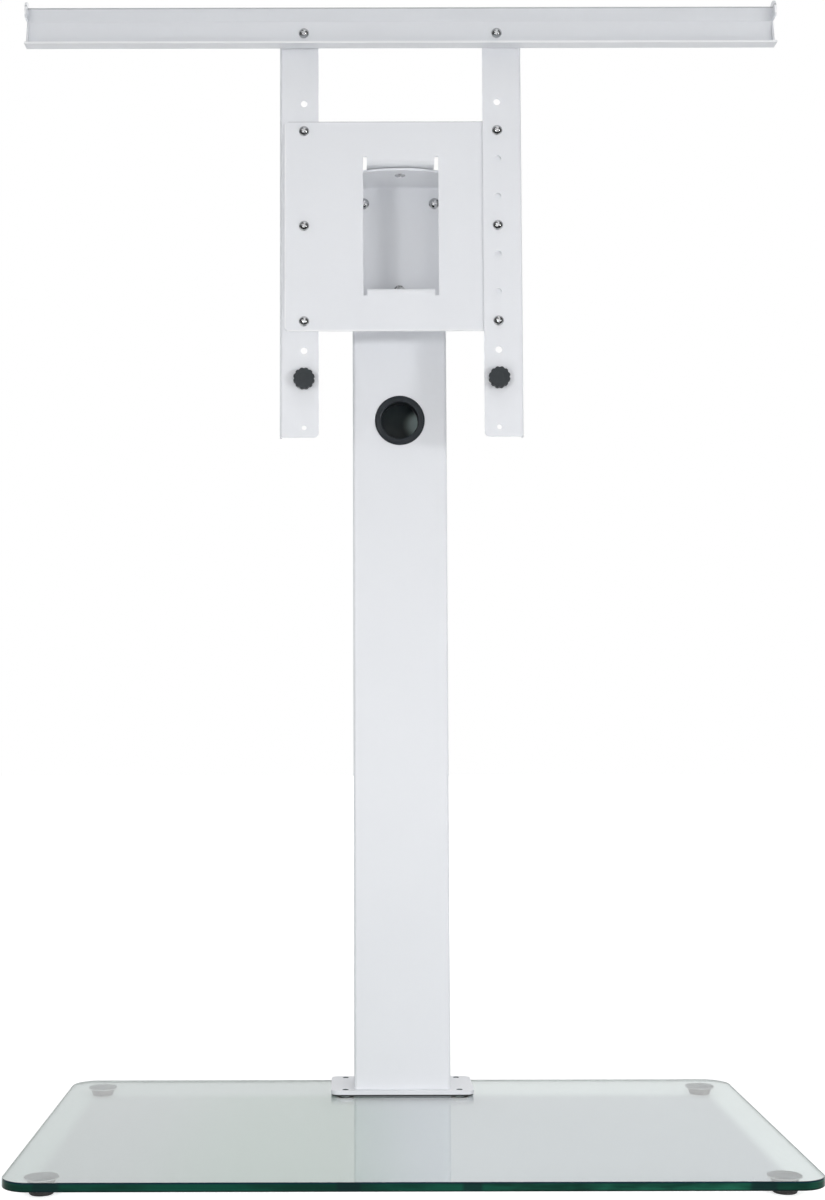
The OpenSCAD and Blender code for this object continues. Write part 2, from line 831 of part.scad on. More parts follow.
// A knob whose back lies on z = 0 and whose face looks down
module knob() {
    module rounded_disc_section() {
        square([knob_d / 2 - knob_edge_r, knob_t]);
        translate([0, knob_edge_r]) square([knob_d / 2, knob_t - 2 * knob_edge_r]);
        for (z = [knob_edge_r, knob_t - knob_edge_r])
            translate([knob_d / 2 - knob_edge_r, z]) circle(knob_edge_r);
    }
    mirror([0, 0, 1]) difference() {
        rotate_extrude() rounded_disc_section();
        for (step = [1:knob_scallops])
            rotate([0, 0, step * 360 / knob_scallops])
                translate([knob_d / 2 + knob_scallop_r - knob_scallop_depth, 0, -over])
                    cylinder(h = knob_t + 2 * over, r = knob_scallop_r);
        translate([0, 0, -over]) cylinder(h = knob_bore_depth + over, d = screw_d + 2 * running_play);
        translate([0, 0, knob_t - knob_dimple_depth])
            cylinder(h = knob_dimple_depth + over, d = knob_dimple_d);
    }
}

// A stud for a knob whose back lies on z = 0, pointing up
module knob_stud() {
    translate([0, 0, -stud_in_knob]) cylinder(h = stud_in_knob + stud_l - stud_tip, d = screw_d);
    translate([0, 0, stud_l - stud_tip]) cylinder(h = stud_tip, d1 = screw_d, d2 = screw_d - 2 * stud_tip);
}

module left_knob() {
    color(black_plastic) facing_back(-arm_line, left_arm_front - knob_gap, knob_z) knob();
}

module left_knob_stud() {
    color(zinc) facing_back(-arm_line, left_arm_front - knob_gap, knob_z) knob_stud();
}

module right_knob() {
    color(black_plastic) facing_back(arm_line, right_arm_front - knob_gap, knob_z) knob();
}

module right_knob_stud() {
    color(zinc) facing_back(arm_line, right_arm_front - knob_gap, knob_z) knob_stud();
}

glass_base();
foot_discs();
rubber_feet();
base_gasket();
foot_plate();
column();
column_cap();
column_weld_nuts();
glass_sleeves();
rubber_washers();
steel_washers();
base_bolts();
front_grommet();
rear_grommet();
swivel_bracket();
bracket_screws();
pivot_bolts();
friction_washers();
pivot_washers();
pivot_lock_nuts();
mount_plate();
left_arm();
right_arm();
arm_screws();
arm_nuts();
top_rail();
rail_spacer();
rail_screws();
rail_nuts();
knob_nuts();
left_knob();
left_knob_stud();
right_knob();
right_knob_stud();
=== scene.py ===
"""A television floor stand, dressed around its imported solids.

Lengths are in metres, in the solids' own frame: +X right, +Y away from the
viewer, +Z up, with the origin on the floor under the glass's centre.
"""

import json
import math
from collections import Counter

import bpy
from mathutils import Matrix, Vector

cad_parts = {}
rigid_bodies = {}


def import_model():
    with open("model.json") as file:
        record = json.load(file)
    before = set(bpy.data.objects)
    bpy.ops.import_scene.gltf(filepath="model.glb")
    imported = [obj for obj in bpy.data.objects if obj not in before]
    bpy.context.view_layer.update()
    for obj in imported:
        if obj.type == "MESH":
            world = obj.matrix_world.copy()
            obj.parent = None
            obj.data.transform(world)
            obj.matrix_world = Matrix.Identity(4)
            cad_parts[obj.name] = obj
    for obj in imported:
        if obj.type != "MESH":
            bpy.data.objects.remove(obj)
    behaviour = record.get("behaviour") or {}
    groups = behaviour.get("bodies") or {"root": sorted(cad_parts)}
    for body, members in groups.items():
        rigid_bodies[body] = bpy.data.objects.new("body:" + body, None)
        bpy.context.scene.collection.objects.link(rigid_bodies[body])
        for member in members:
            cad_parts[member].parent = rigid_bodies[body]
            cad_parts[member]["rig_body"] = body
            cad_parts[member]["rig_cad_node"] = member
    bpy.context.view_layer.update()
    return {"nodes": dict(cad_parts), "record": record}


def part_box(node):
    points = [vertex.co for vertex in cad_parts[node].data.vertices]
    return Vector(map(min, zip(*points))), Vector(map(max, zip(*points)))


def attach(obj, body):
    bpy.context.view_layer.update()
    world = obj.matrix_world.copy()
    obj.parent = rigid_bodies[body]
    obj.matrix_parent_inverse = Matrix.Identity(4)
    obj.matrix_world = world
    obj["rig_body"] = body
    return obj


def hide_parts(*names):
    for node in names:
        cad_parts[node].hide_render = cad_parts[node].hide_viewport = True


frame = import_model()
nodes = frame["nodes"]
bodies = frame["record"]["behaviour"]["bodies"]
bodies_of = {node: body for body, members in bodies.items() for node in members}

MM = 0.001
# Corners nearer than this are one corner
FINE = 1e-5
WALL = 2 * MM
# Heads of the base bolts, and the foot plate's holes for them
BASE_HEAD_R = 6 * MM
BASE_HOLE_R = 3.25 * MM
UP = Matrix.Identity(4)
# Turns a piece modelled along +Z so that it points to the back or to the front
TO_BACK = Matrix.Rotation(math.radians(-90), 4, "X")
TO_FRONT = Matrix.Rotation(math.radians(90), 4, "X")


# ---- camera ----

# Fitted to the photograph, which was taken from a little left of the middle
CAMERA_AT = (-0.0505, -1.6885, 0.3977)
CAMERA_TILT_UP = 4.146
CAMERA_ROLL = -0.12
CAMERA_LENS = 51.85
CAMERA_SHIFT = 0.0498

camera_data = bpy.data.cameras.new("camera")
camera_data.lens = CAMERA_LENS
camera_data.sensor_width = 36
camera_data.shift_x = CAMERA_SHIFT
camera = bpy.data.objects.new("camera", camera_data)
camera.location = CAMERA_AT
camera_tilt = Matrix.Rotation(math.radians(90 + CAMERA_TILT_UP), 3, "X")
camera_roll = Matrix.Rotation(math.radians(CAMERA_ROLL), 3, "Z")
camera.rotation_euler = (camera_tilt @ camera_roll).to_euler()
bpy.context.scene.collection.objects.link(camera)
bpy.context.scene.camera = camera


# ---- materials ----


class Wire:
    """One output of a node. Sums and products of wires add Math nodes."""

    def __init__(self, wiring, socket):
        self.wiring = wiring
        self.socket = socket

    def __add__(self, other):
        return self.wiring.math("ADD", self, other)

    def __radd__(self, other):
        return self.wiring.math("ADD", other, self)

    def __sub__(self, other):
        return self.wiring.math("SUBTRACT", self, other)

    def __rsub__(self, other):
        return self.wiring.math("SUBTRACT", other, self)

    def __mul__(self, other):
        return self.wiring.math("MULTIPLY", self, other)

    def __rmul__(self, other):
        return self.wiring.math("MULTIPLY", other, self)

    def __abs__(self):
        return self.wiring.math("ABSOLUTE", self)


class Wiring:
    """A node tree, and the few ways in which its nodes are made."""

    def __init__(self, tree, coordinates):
        self.tree = tree
        self.place = self.node("ShaderNodeTexCoord", output=coordinates)

    def node(self, kind, settings=None, inputs=None, output=0):
        made = self.tree.nodes.new(kind)
        for name, value in (settings or {}).items():
            setattr(made, name, value)
        for name, value in (inputs or {}).items():
            if isinstance(value, Wire):
                self.tree.links.new(value.socket, made.inputs[name])
            else:
                made.inputs[name].default_value = value
        return Wire(self, made.outputs[output])

    def math(self, operation, *values):
        return self.node("ShaderNodeMath", {"operation": operation}, dict(enumerate(values)))

    def noise(self, size, detail=2.0, place=None):
        """Smooth noise from 0 to 1 whose patches are about this size."""
        inputs = {"Vector": place or self.place, "Scale": 1 / size, "Detail": detail}
        return self.node("ShaderNodeTexNoise", None, inputs, "Fac")

    def axis(self, name, vector=None):
        return self.node("ShaderNodeSeparateXYZ", None, {"Vector": vector or self.place}, name)

    def band(self, value, low, high, fade):
        """1 from low to high, and 0 further out than the fade."""
        return self.step(value, low - fade, low) * (1 - self.step(value, high, high + fade))

    def facing(self, name):
        """How far the surface faces along this axis, from -1 to 1."""
        return self.axis(name, self.node("ShaderNodeNewGeometry", output="Normal"))

    def length(self, across, along):
        return self.math("SQRT", across * across + along * along)

    def rays(self, *names):
        """1 for rays of the named kinds."""
        seen = [self.node("ShaderNodeLightPath", output=name) for name in names]
        return self.math("MINIMUM", sum(seen[1:], seen[0]), 1.0)

    def mix(self, share, low, high):
        """Colour low where the share is 0, and high where it is 1."""
        inputs = {0: share, 6: low if isinstance(low, Wire) else (*low, 1)}
        inputs[7] = high if isinstance(high, Wire) else (*high, 1)
        return self.node("ShaderNodeMix", {"data_type": "RGBA"}, inputs, 2)

    def step(self, value, low, high):
        """0 below low and 1 above high, with a smooth rise between."""
        inputs = {"Value": value, "From Min": low, "From Max": high}
        return self.node("ShaderNodeMapRange", {"interpolation_type": "SMOOTHSTEP"}, inputs)

    def bump(self, height, depth, strength=1.0):
        inputs = {"Height": height, "Distance": depth, "Strength": strength}
        return self.node("ShaderNodeBump", None, inputs)


class Finish(Wiring):
    """A material with one Principled shader, and nodes for what changes over its surface."""

    def __init__(self, name, colour, roughness, constants=None):
        self.material = bpy.data.materials.new(name)
        self.material.use_nodes = True
        super().__init__(self.material.node_tree, "Object")
        self.shader = self.tree.nodes["Principled BSDF"]
        self.shader.inputs["Base Color"].default_value = (*colour, 1)
        self.shader.inputs["Roughness"].default_value = roughness
        for socket, value in (constants or {}).items():
            self.shader.inputs[socket].default_value = value

    def feed(self, **wires):
        for name, wire in wires.items():
            self.tree.links.new(wire.socket, self.shader.inputs[name.replace("_", " ").title()])

    def surface(self, wire):
        """This shader is the surface, instead of the first one alone."""
        self.tree.links.new(wire.socket, self.tree.nodes["Material Output"].inputs["Surface"])


def tube_inside(finish):
    """1 inside the column, which the coat doesn't reach."""
    low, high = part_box("column")
    middle, half = (low + high) / 2, (high - low) / 2
    coat_ends, coat_full = WALL - 0.1 * MM, WALL - 0.4 * MM
    across, along = (
        finish.step(abs(finish.axis(name) - centre), reach - coat_ends, reach - coat_full)
        for name, centre, reach in (("X", middle.x, half.x), ("Y", middle.y, half.y))
    )
    return 1 - finish.math("MAXIMUM", across, along)


# The painted pool of light on the tube's back wall, from the hole's middle: its own middle, and how
# far it reaches
LIT_PATCH_ASIDE, LIT_PATCH_RISE = 22 * MM, 5 * MM
LIT_PATCH_FULL, LIT_PATCH_END = 7 * MM, 19 * MM


def painted_light_behind_hole(finish):
    """1 where a pool of light is painted on the tube's back wall, behind the front hole."""
    low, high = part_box("front_grommet")
    aside = finish.axis("X") - LIT_PATCH_ASIDE
    rise = finish.axis("Z") - ((low.z + high.z) / 2 + LIT_PATCH_RISE)
    return 1 - finish.step(finish.length(aside, rise), LIT_PATCH_FULL, LIT_PATCH_END)


def shaded_bare_bores(finish):
    """1 in the foot plate's four bolt holes, which get painted shade in bare steel's colour."""
    low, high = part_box("base_bolts")
    middle, half = (low + high) / 2, (high - low) / 2
    across = abs(finish.axis("X") - middle.x) - (half.x - BASE_HEAD_R)
    along = abs(finish.axis("Y") - middle.y) - (half.y - BASE_HEAD_R)
    reach = finish.length(across, along)
    return 1 - finish.step(reach, BASE_HOLE_R - 0.15 * MM, BASE_HOLE_R + 0.25 * MM)


COAT_TONES = ((0.775, 0.79, 0.825), (0.815, 0.83, 0.86))
# Painted shade: the grey towards which a whole coat is mixed
PAINTED_SHADE_GREY = (0.55, 0.575, 0.60)
# Bare steel's colours: real inside the tube, and painted shade in the foot plate's bolt holes
BARE_STEEL_AND_SHADE = ((0.045, 0.066, 0.075), (0.085, 0.115, 0.125))
# Painted light: the pale patch on the tube's back wall, and how much of it shows
PAINTED_LIGHT_TONE = (0.58, 0.72, 0.71)
PAINTED_LIGHT_SHARE = 0.9
# Painted shade and painted highlight, for lines along folds and arrises
SHADE_LINE_TONE = (0.50, 0.515, 0.535)
HIGHLIGHT_LINE_TONE = (0.90, 0.91, 0.93)
LINE_FADE = 0.3 * MM


def powder_coat(name, bare_and_shaded=None, painted_light=None, painted_shade_lines=(), painted_highlight_lines=(), painted_grey_share=0.0):
    """Glossy white powder coat: faint orange peel, and tone that drifts a little.

    The first mask gives the places without it, in bare steel's colour, which in bolt holes is
    painted shade, and the second a painted pool of light inside those. The greying share greys
    the whole coat as painted shade. A dark line is painted shade and a pale line a painted
    highlight, each along a sheet's fold or arris: a direction, and its low and high limit along it.
    """
    finish = Finish(name, (0.78, 0.80, 0.84), 0.38)
    drift = finish.noise(0.16, 3.0)
    peel = finish.noise(1.6 * MM, 2.0)
    grain = finish.noise(0.35 * MM, 1.0)
    colour = finish.mix(drift, *COAT_TONES)
    # Painted shade: the whole coat greyed
    if painted_grey_share:
        colour = finish.mix(painted_grey_share, colour, PAINTED_SHADE_GREY)
    if bare_and_shaded:
        # Bare steel's colour, which in the bolt holes is painted shade
        steel = finish.mix(finish.noise(9 * MM, 4.0), *BARE_STEEL_AND_SHADE)
        if painted_light:
            # Painted light: a pale patch where light falls in through the front hole
            steel = finish.mix(PAINTED_LIGHT_SHARE * painted_light(finish), steel, PAINTED_LIGHT_TONE)
        colour = finish.mix(bare_and_shaded(finish), colour, steel)
    # Painted shade lines and painted highlight lines along folds and arrises
    for lines, tone in ((painted_shade_lines, SHADE_LINE_TONE), (painted_highlight_lines, HIGHLIGHT_LINE_TONE)):
        for direction, low, high in lines:
            line = finish.band(finish.axis(direction), low, high, LINE_FADE)
            colour = finish.mix(line, colour, tone)
    finish.feed(
        base_color=colour,
        roughness=0.33 + 0.1 * finish.noise(0.03),
        normal=finish.bump(peel + 0.25 * grain, 0.012 * MM, 0.5),
    )
    return finish.material


glass_low, glass_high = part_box("glass_base")
glass_size = glass_high - glass_low

# Where dark images of the feet and bolts are painted into the glass's front edge, as painted
# reflections
PAINTED_EDGE_IMAGES = ((-0.318, -0.300), (-0.063, -0.047), (0.043, 0.055), (0.284, 0.302))
PAINTED_IMAGE_FADE = 4 * MM
PAINTED_IMAGE_SHARE = 0.65
PAINTED_IMAGE_TONE = (0.004, 0.014, 0.018)
EDGE_GREEN_DEEP = (0.002, 0.030, 0.020)
# Painted light: the edge's green is shaded on the left and lit on the right
EDGE_GREEN_SHADED_LEFT = (0.003, 0.055, 0.035)
EDGE_GREEN_LIT_RIGHT = (0.010, 0.100, 0.061)
# Painted shade at the lower arris, a painted highlight at the upper one, and a dark painted
# reflection there in front
LOWER_ARRIS_SHADE = (0.002, 0.008, 0.008)
UPPER_ARRIS_HIGHLIGHT = (0.22, 0.27, 0.25)
UPPER_ARRIS_FRONT_REFLECTION = (0.004, 0.022, 0.035)
SIDE_FROM_INSIDE = (0.58, 0.66, 0.63)


def glass_side(finish):
    """Colour of the sheet's sides: green, lighter to the right as painted light, with painted shade
    at the lower arris, a painted highlight at the upper one, and a dark blue painted reflection
    there in front.
    """
    height = finish.axis("Z")
    stretch = {0: finish.place, 1: (1, 1, 6)}
    stretched = finish.node("ShaderNodeVectorMath", {"operation": "MULTIPLY"}, stretch)
    clouds = finish.step(finish.noise(0.06, 3.0, stretched), 0.35, 0.65)
    across = finish.axis("X")
    # Painted light: the edge brighter to the right
    lit_rightness = finish.step(across, -0.05, 0.2)
    bright_green = finish.mix(lit_rightness, EDGE_GREEN_SHADED_LEFT, EDGE_GREEN_LIT_RIGHT)
    green = finish.mix(clouds, EDGE_GREEN_DEEP, bright_green)
    # Painted shade at the lower arris, a painted highlight at the upper one, a dark painted
    # reflection at its front
    above_lower = finish.step(height, glass_low.z + 0.4 * MM, glass_low.z + 1.8 * MM)
    on_upper = finish.step(height, glass_high.z - 1.8 * MM, glass_high.z - 0.8 * MM)
    front = 1 - finish.step(finish.facing("Y"), -0.6, -0.1)
    arris = finish.mix(front, UPPER_ARRIS_HIGHLIGHT, UPPER_ARRIS_FRONT_REFLECTION)
    side = finish.mix(on_upper, finish.mix(above_lower, LOWER_ARRIS_SHADE, green), arris)
    # Painted reflections: dark images of the feet and bolts in the front edge
    for left, right in PAINTED_EDGE_IMAGES:
        painted_image = finish.band(across, left, right, PAINTED_IMAGE_FADE)
        side = finish.mix(PAINTED_IMAGE_SHARE * painted_image * front, side, PAINTED_IMAGE_TONE)
    # Through the sheet, its sides and holes glow with the light behind them
    return finish.mix(finish.rays("Is Transmission Ray"), side, SIDE_FROM_INSIDE)


def clear_glass():
    """Clear float glass: pale through its faces, deep green in its polished edges."""
    constants = {"Transmission Weight": 1.0, "IOR": 1.5}
    finish = Finish("clear_glass", (0.93, 0.96, 0.95), 0.02, constants)
    face = finish.mix(finish.noise(0.25), (0.905, 0.94, 0.93), (0.935, 0.96, 0.955))
    finish.feed(base_color=face, normal=finish.bump(finish.noise(0.4), 0.05 * MM, 0.2))
    rim = finish.node("ShaderNodeBsdfPrincipled", None, {
        "Base Color": glass_side(finish),
        "Roughness": 0.08 + 0.1 * finish.noise(6 * MM),
        "Specular IOR Level": 0.09,
    })
    edge = 1 - finish.step(abs(finish.facing("Z")), 0.80, 0.95)
    faces = Wire(finish, finish.shader.outputs[0])
    finish.surface(finish.node("ShaderNodeMixShader", None, {0: edge, 1: faces, 2: rim}))
    return finish.material


def black_moulding():
    """Satin black nylon of the cable grommets."""
    colour, constants = (0.022, 0.026, 0.031), {"Specular IOR Level": 0.36}
    finish = Finish("black_moulding", colour, 0.32, constants)
    finish.feed(
        base_color=finish.mix(finish.noise(0.012), (0.012, 0.016, 0.020), (0.022, 0.027, 0.033)),
        roughness=0.26 + 0.14 * finish.noise(5 * MM),
        normal=finish.bump(finish.noise(0.5 * MM), 0.01 * MM, 0.4),
    )
    return finish.material


def slate_moulding():
    """Spark-textured slate plastic of the bumper knobs."""
    finish = Finish("slate_moulding", (0.045, 0.05, 0.056), 0.55)
    spark = finish.noise(0.45 * MM, 3.0)
    finish.feed(
        base_color=finish.mix(finish.noise(6 * MM), (0.020, 0.026, 0.030), (0.032, 0.039, 0.045)),
        roughness=0.46 + 0.16 * spark,
        normal=finish.bump(spark, 0.03 * MM, 0.6),
    )
    return finish.material


def black_rubber():
    """Matt rubber, a little dusty on its skin."""
    finish = Finish("black_rubber", (0.018, 0.018, 0.018), 0.75)
    dust = finish.noise(3 * MM, 4.0)
    finish.feed(
        base_color=finish.mix(dust, (0.012, 0.012, 0.012), (0.034, 0.033, 0.032)),
        roughness=0.66 + 0.2 * dust,
        normal=finish.bump(finish.noise(0.6 * MM, 2.0), 0.03 * MM, 0.5),
    )
    return finish.material


def grey_disc():
    """Grey bonding disc, slightly mottled where the adhesive wets the glass."""
    finish = Finish("grey_disc", (0.43, 0.45, 0.46), 0.5)
    wet = finish.noise(2.5 * MM, 3.0)
    finish.feed(
        base_color=finish.mix(wet, (0.44, 0.46, 0.47), (0.54, 0.56, 0.57)),
        roughness=0.4 + 0.25 * wet,
    )
    return finish.material


def white_cap():
    """Satin white plastic of the column's cap."""
    finish = Finish("white_cap", (0.76, 0.78, 0.81), 0.42)
    finish.feed(
        base_color=finish.mix(finish.noise(0.03), (0.74, 0.76, 0.79), (0.78, 0.80, 0.83)),
        roughness=0.38 + 0.1 * finish.noise(8 * MM),
        normal=finish.bump(finish.noise(0.6 * MM), 0.01 * MM, 0.4),
    )
    return finish.material


def natural_nylon():
    """Uncoloured, waxy nylon of the sleeves and washers."""
    finish = Finish("natural_nylon", (0.78, 0.77, 0.71), 0.4)
    finish.feed(
        base_color=finish.mix(finish.noise(4 * MM), (0.74, 0.73, 0.67), (0.82, 0.81, 0.76)),
        roughness=0.34 + 0.14 * finish.noise(2 * MM),
    )
    return finish.material


def zinc_plate():
    """Bright zinc plating with fine grain and cloudy tone."""
    finish = Finish("zinc_plate", (0.62, 0.64, 0.66), 0.34, {"Metallic": 1.0})
    cloud = finish.noise(3 * MM, 4.0)
    finish.feed(
        base_color=finish.mix(cloud, (0.55, 0.565, 0.58), (0.70, 0.71, 0.72)),
        roughness=0.27 + 0.18 * cloud,
        normal=finish.bump(finish.noise(0.3 * MM), 0.004 * MM, 0.5),
    )
    return finish.material


def nickel_plate():
    """Polished nickel of the screw heads, with faint handling marks and a painted highlight in the
    recesses.
    """
    finish = Finish("nickel_plate", (0.66, 0.665, 0.675), 0.2, {"Metallic": 1.0})
    marks = finish.noise(1.2 * MM, 4.0)
    dome = finish.mix(finish.noise(4 * MM), (0.46, 0.465, 0.48), (0.60, 0.605, 0.61))
    # Painted highlight: the cross recess is pale and less metallic
    recess = finish.node("ShaderNodeAttribute", {"attribute_name": "recess"}, output="Fac")
    finish.feed(
        base_color=finish.mix(recess, dome, (0.92, 0.92, 0.93)),
        metallic=1 - 0.6 * recess,
        roughness=0.13 + 0.16 * marks + 0.15 * recess,
        normal=finish.bump(marks, 0.004 * MM, 0.4),
    )
    return finish.material


FINISHES = {
    "paint": powder_coat("powder_coat"),
    "glass": clear_glass(),
    "disc": grey_disc(),
    "rubber": black_rubber(),
    "cap": white_cap(),
    "grommet": black_moulding(),
    "knob": slate_moulding(),
    "nylon": natural_nylon(),
    "zinc": zinc_plate(),
    "screw": nickel_plate(),
}
SLOTS = {row["node"]: row["material_slot"] for row in frame["record"]["subparts"]}
for node_name, node_object in nodes.items():
    node_object.data.materials.clear()
    node_object.data.materials.append(FINISHES[SLOTS[node_name]])


# ---- modelling tools ----


def only(piece):
    """Selects this piece alone."""
    bpy.ops.object.select_all(action="DESELECT")
    piece.select_set(True)
    bpy.context.view_layer.objects.active = piece


def open_edit(piece, mode="VERT"):
    """Edit mode on this piece, for picking corners, edges or faces."""
    only(piece)
    bpy.ops.object.mode_set(mode="EDIT")
    bpy.ops.mesh.select_mode(type=mode)


def close_edit():
    bpy.ops.object.mode_set(mode="OBJECT")


def pick(piece, kind, wanted):
    """Opens the piece with only the wanted corners, edges or faces selected."""
    open_edit(piece, kind)
    bpy.ops.mesh.select_all(action="DESELECT")
    close_edit()
    mesh = piece.data
    for part in {"VERT": mesh.vertices, "EDGE": mesh.edges, "FACE": mesh.polygons}[kind]:
        if wanted(part):
            part.select = True
    open_edit(piece, kind)


def settle(piece, matrix=UP):
    """Puts the piece's place into its mesh, after a turn or move by the matrix."""
    piece.matrix_basis = matrix @ piece.matrix_basis
    only(piece)
    bpy.ops.object.transform_apply(location=True, rotation=True, scale=True)
    return piece


def outward(piece):
    """Merges doubles and points all faces outwards."""
    open_edit(piece)
    bpy.ops.mesh.select_all(action="SELECT")
    bpy.ops.mesh.remove_doubles(threshold=FINE)
    bpy.ops.mesh.normals_make_consistent(inside=False)
    close_edit()


def modify(piece, kind, **settings):
    """Adds a modifier with these settings and applies it."""
    only(piece)
    made = piece.modifiers.new(kind.lower(), kind)
    for name, value in settings.items():
        setattr(made, name, value)
    bpy.ops.object.modifier_apply(modifier=made.name)


SMOOTH_ANGLE = 32
THREAD_SMOOTH_ANGLE = 28
MOULDED_SMOOTH_ANGLE = 40
CUT_ATTEMPTS = 4


def smooth(piece, angle=SMOOTH_ANGLE):
    """Smooth shading up to this angle, with the flats kept flat beside rounded edges."""
    only(piece)
    bpy.ops.object.shade_smooth_by_angle(angle=math.radians(angle))
    modify(piece, "WEIGHTED_NORMAL", weight=100, keep_sharp=True)


def closed(piece):
    """Whether the piece is a closed shell, where each edge joins two faces."""
    joins = Counter(edge for face in piece.data.polygons for edge in face.edge_keys)
    return set(joins.values()) == {2}


def cut(piece, cutter, operation="DIFFERENCE"):
    """Cuts the cutter out of the piece, or joins or intersects them. The cutter is used up.

    The solver now and then loses faces, so a cut that leaves the shell open is made again.
    """
    uncut = piece.data.copy()
    for attempt in range(CUT_ATTEMPTS):
        if attempt:
            piece.data = uncut.copy()
        modify(piece, "BOOLEAN", object=cutter, operation=operation, solver="EXACT")
        if closed(piece):
            break
    bpy.data.objects.remove(cutter)
    bpy.data.meshes.remove(uncut)


def soften(piece, width, segments=2, angle=35):
    """Rounds the piece's sharp edges."""
    modify(
        piece, "BEVEL", width=width, segments=segments, limit_method="ANGLE",
        angle_limit=math.radians(angle), harden_normals=False,
    )


def copy_of(piece, name):
    """A copy with its own mesh."""
    made = piece.copy()
    made.data = piece.data.copy()
    made.name = name
    bpy.context.scene.collection.objects.link(made)
    return made


def joined(pieces, name):
    """All the pieces as one."""
    bpy.ops.object.select_all(action="DESELECT")
    for piece in pieces:
        piece.select_set(True)
    bpy.context.view_layer.objects.active = pieces[0]
    bpy.ops.object.join()
    pieces[0].name = name
    return pieces[0]


def repeated(pattern, name, matrices):
    """Copies of the pattern at each place, as one piece. The pattern itself is kept."""
    copies = []
    for matrix in matrices:
        made = copy_of(pattern, name + "_copy")
        made.matrix_basis = matrix
        copies.append(made)
    whole = joined(copies, name)
    only(whole)
    bpy.ops.object.transform_apply(location=True, rotation=True, scale=True)
    return whole


def dress(piece, node, finish=None):
    """The piece stands for the node, with the node's finish, and moves with its body."""
    slot = finish or SLOTS[node]
    piece.data.materials.clear()
    piece.data.materials.append(FINISHES[slot])
    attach(piece, bodies_of[node])
    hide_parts(node)
    return piece


def turned(name, profile, sides=64):
    """Lathes a piece about the Z axis: each (radius, height) of the profile is a new ring."""
    (radius, height), *rest = profile
    bpy.ops.mesh.primitive_circle_add(vertices=sides, radius=radius, location=(0, 0, height))
    piece = settle(bpy.context.object)
    piece.name = name
    open_edit(piece)
    bpy.ops.mesh.select_all(action="SELECT")
    for next_radius, next_height in rest:
        rise = (0, 0, next_height - height)
        bpy.ops.mesh.extrude_edges_move(TRANSFORM_OT_translate={"value": rise})
        grow = next_radius / radius
        if grow != 1:
            bpy.ops.transform.resize(value=(grow, grow, 1), center_override=(0, 0, 0))
        radius, height = next_radius, next_height
    close_edit()
    return piece


def close_ends(piece):
    """Fills the open rings at a turned piece's ends."""
    open_edit(piece, "EDGE")
    bpy.ops.mesh.select_all(action="DESELECT")
    bpy.ops.mesh.select_non_manifold()
    bpy.ops.mesh.edge_face_add()
    close_edit()
    outward(piece)


def rounded(corners, radius, steps=4):
    """The corners of a closed (radius, height) profile, each rounded by this radius."""
    made = []
    count = len(corners)
    for i, corner in enumerate(corners):
        here = Vector(corner)
        before = Vector(corners[i - 1]) - here
        after = Vector(corners[(i + 1) % count]) - here
        reach = min(radius, before.length * 0.45, after.length * 0.45)
        start, end = here + before.normalized() * reach, here + after.normalized() * reach
        for k in range(steps + 1):
            t = k / steps
            made.append(tuple(start * (1 - t) ** 2 + here * 2 * t * (1 - t) + end * t ** 2))
    return made


def turned_ring(name, corners, radius, sides=64):
    """A closed ring with a rounded section."""
    profile = rounded(corners, radius)
    piece = turned(name, profile + profile[:1], sides)
    outward(piece)
    smooth(piece)
    return piece


def softened_node(node, name, width, segments=2, angle=35):
    """A copy of a node's solid with its triangles merged and its sharp edges rounded."""
    piece = copy_of(nodes[node], name)
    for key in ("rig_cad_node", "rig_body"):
        del piece[key]
    piece.parent = None
    piece.matrix_basis = UP
    open_edit(piece)
    bpy.ops.mesh.customdata_custom_splitnormals_clear()
    bpy.ops.mesh.select_all(action="SELECT")
    bpy.ops.mesh.remove_doubles(threshold=FINE)
    bpy.ops.mesh.dissolve_limited(angle_limit=math.radians(0.5))
    close_edit()
    soften(piece, width, segments, angle)
    smooth(piece)
    return dress(piece, node)


# ---- sheet metal, tube and plate ----

tube = softened_node("column", "column_tube", 0.3 * MM)
# The tube's inside is bare steel, with a painted pool of light behind the front hole
tube.data.materials[0] = powder_coat("powder_coat_tube", tube_inside, painted_light_behind_hole)
softened_node("column_cap", "column_end_cap", 0.9 * MM, 3)
sole = softened_node("foot_plate", "foot_plate_steel", 0.5 * MM, 3)
# The foot plate's bolt holes get painted shade, in bare steel's colour
sole.data.materials[0] = powder_coat("powder_coat_sole", shaded_bare_bores)
softened_node("base_gasket", "foot_gasket", 0.3 * MM)
softened_node("swivel_bracket", "bracket_sheet", 0.3 * MM)
plate = softened_node("mount_plate", "mount_plate_sheet", 0.4 * MM)
plate_low, plate_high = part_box("mount_plate")
# Painted shade along the plate's top edge, and painted highlights along its left and lower edges
plate.data.materials[0] = powder_coat(
    "powder_coat_plate",
    painted_shade_lines=[("Z", plate_high.z - 0.5 * MM, plate_high.z + MM)],
    painted_highlight_lines=[
        ("X", plate_low.x - MM, plate_low.x + MM), ("Z", plate_low.z - MM, plate_low.z + MM),
    ],
)
softened_node("left_arm", "left_arm_angle", 0.3 * MM)
softened_node("right_arm", "right_arm_angle", 0.3 * MM)
rail = softened_node("top_rail", "top_rail_sheet", 0.3 * MM, 2, 25)
rail_low, rail_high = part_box("top_rail")
RAIL_EAR_RISE = 6 * MM
rail_edge = rail_high.z - RAIL_EAR_RISE
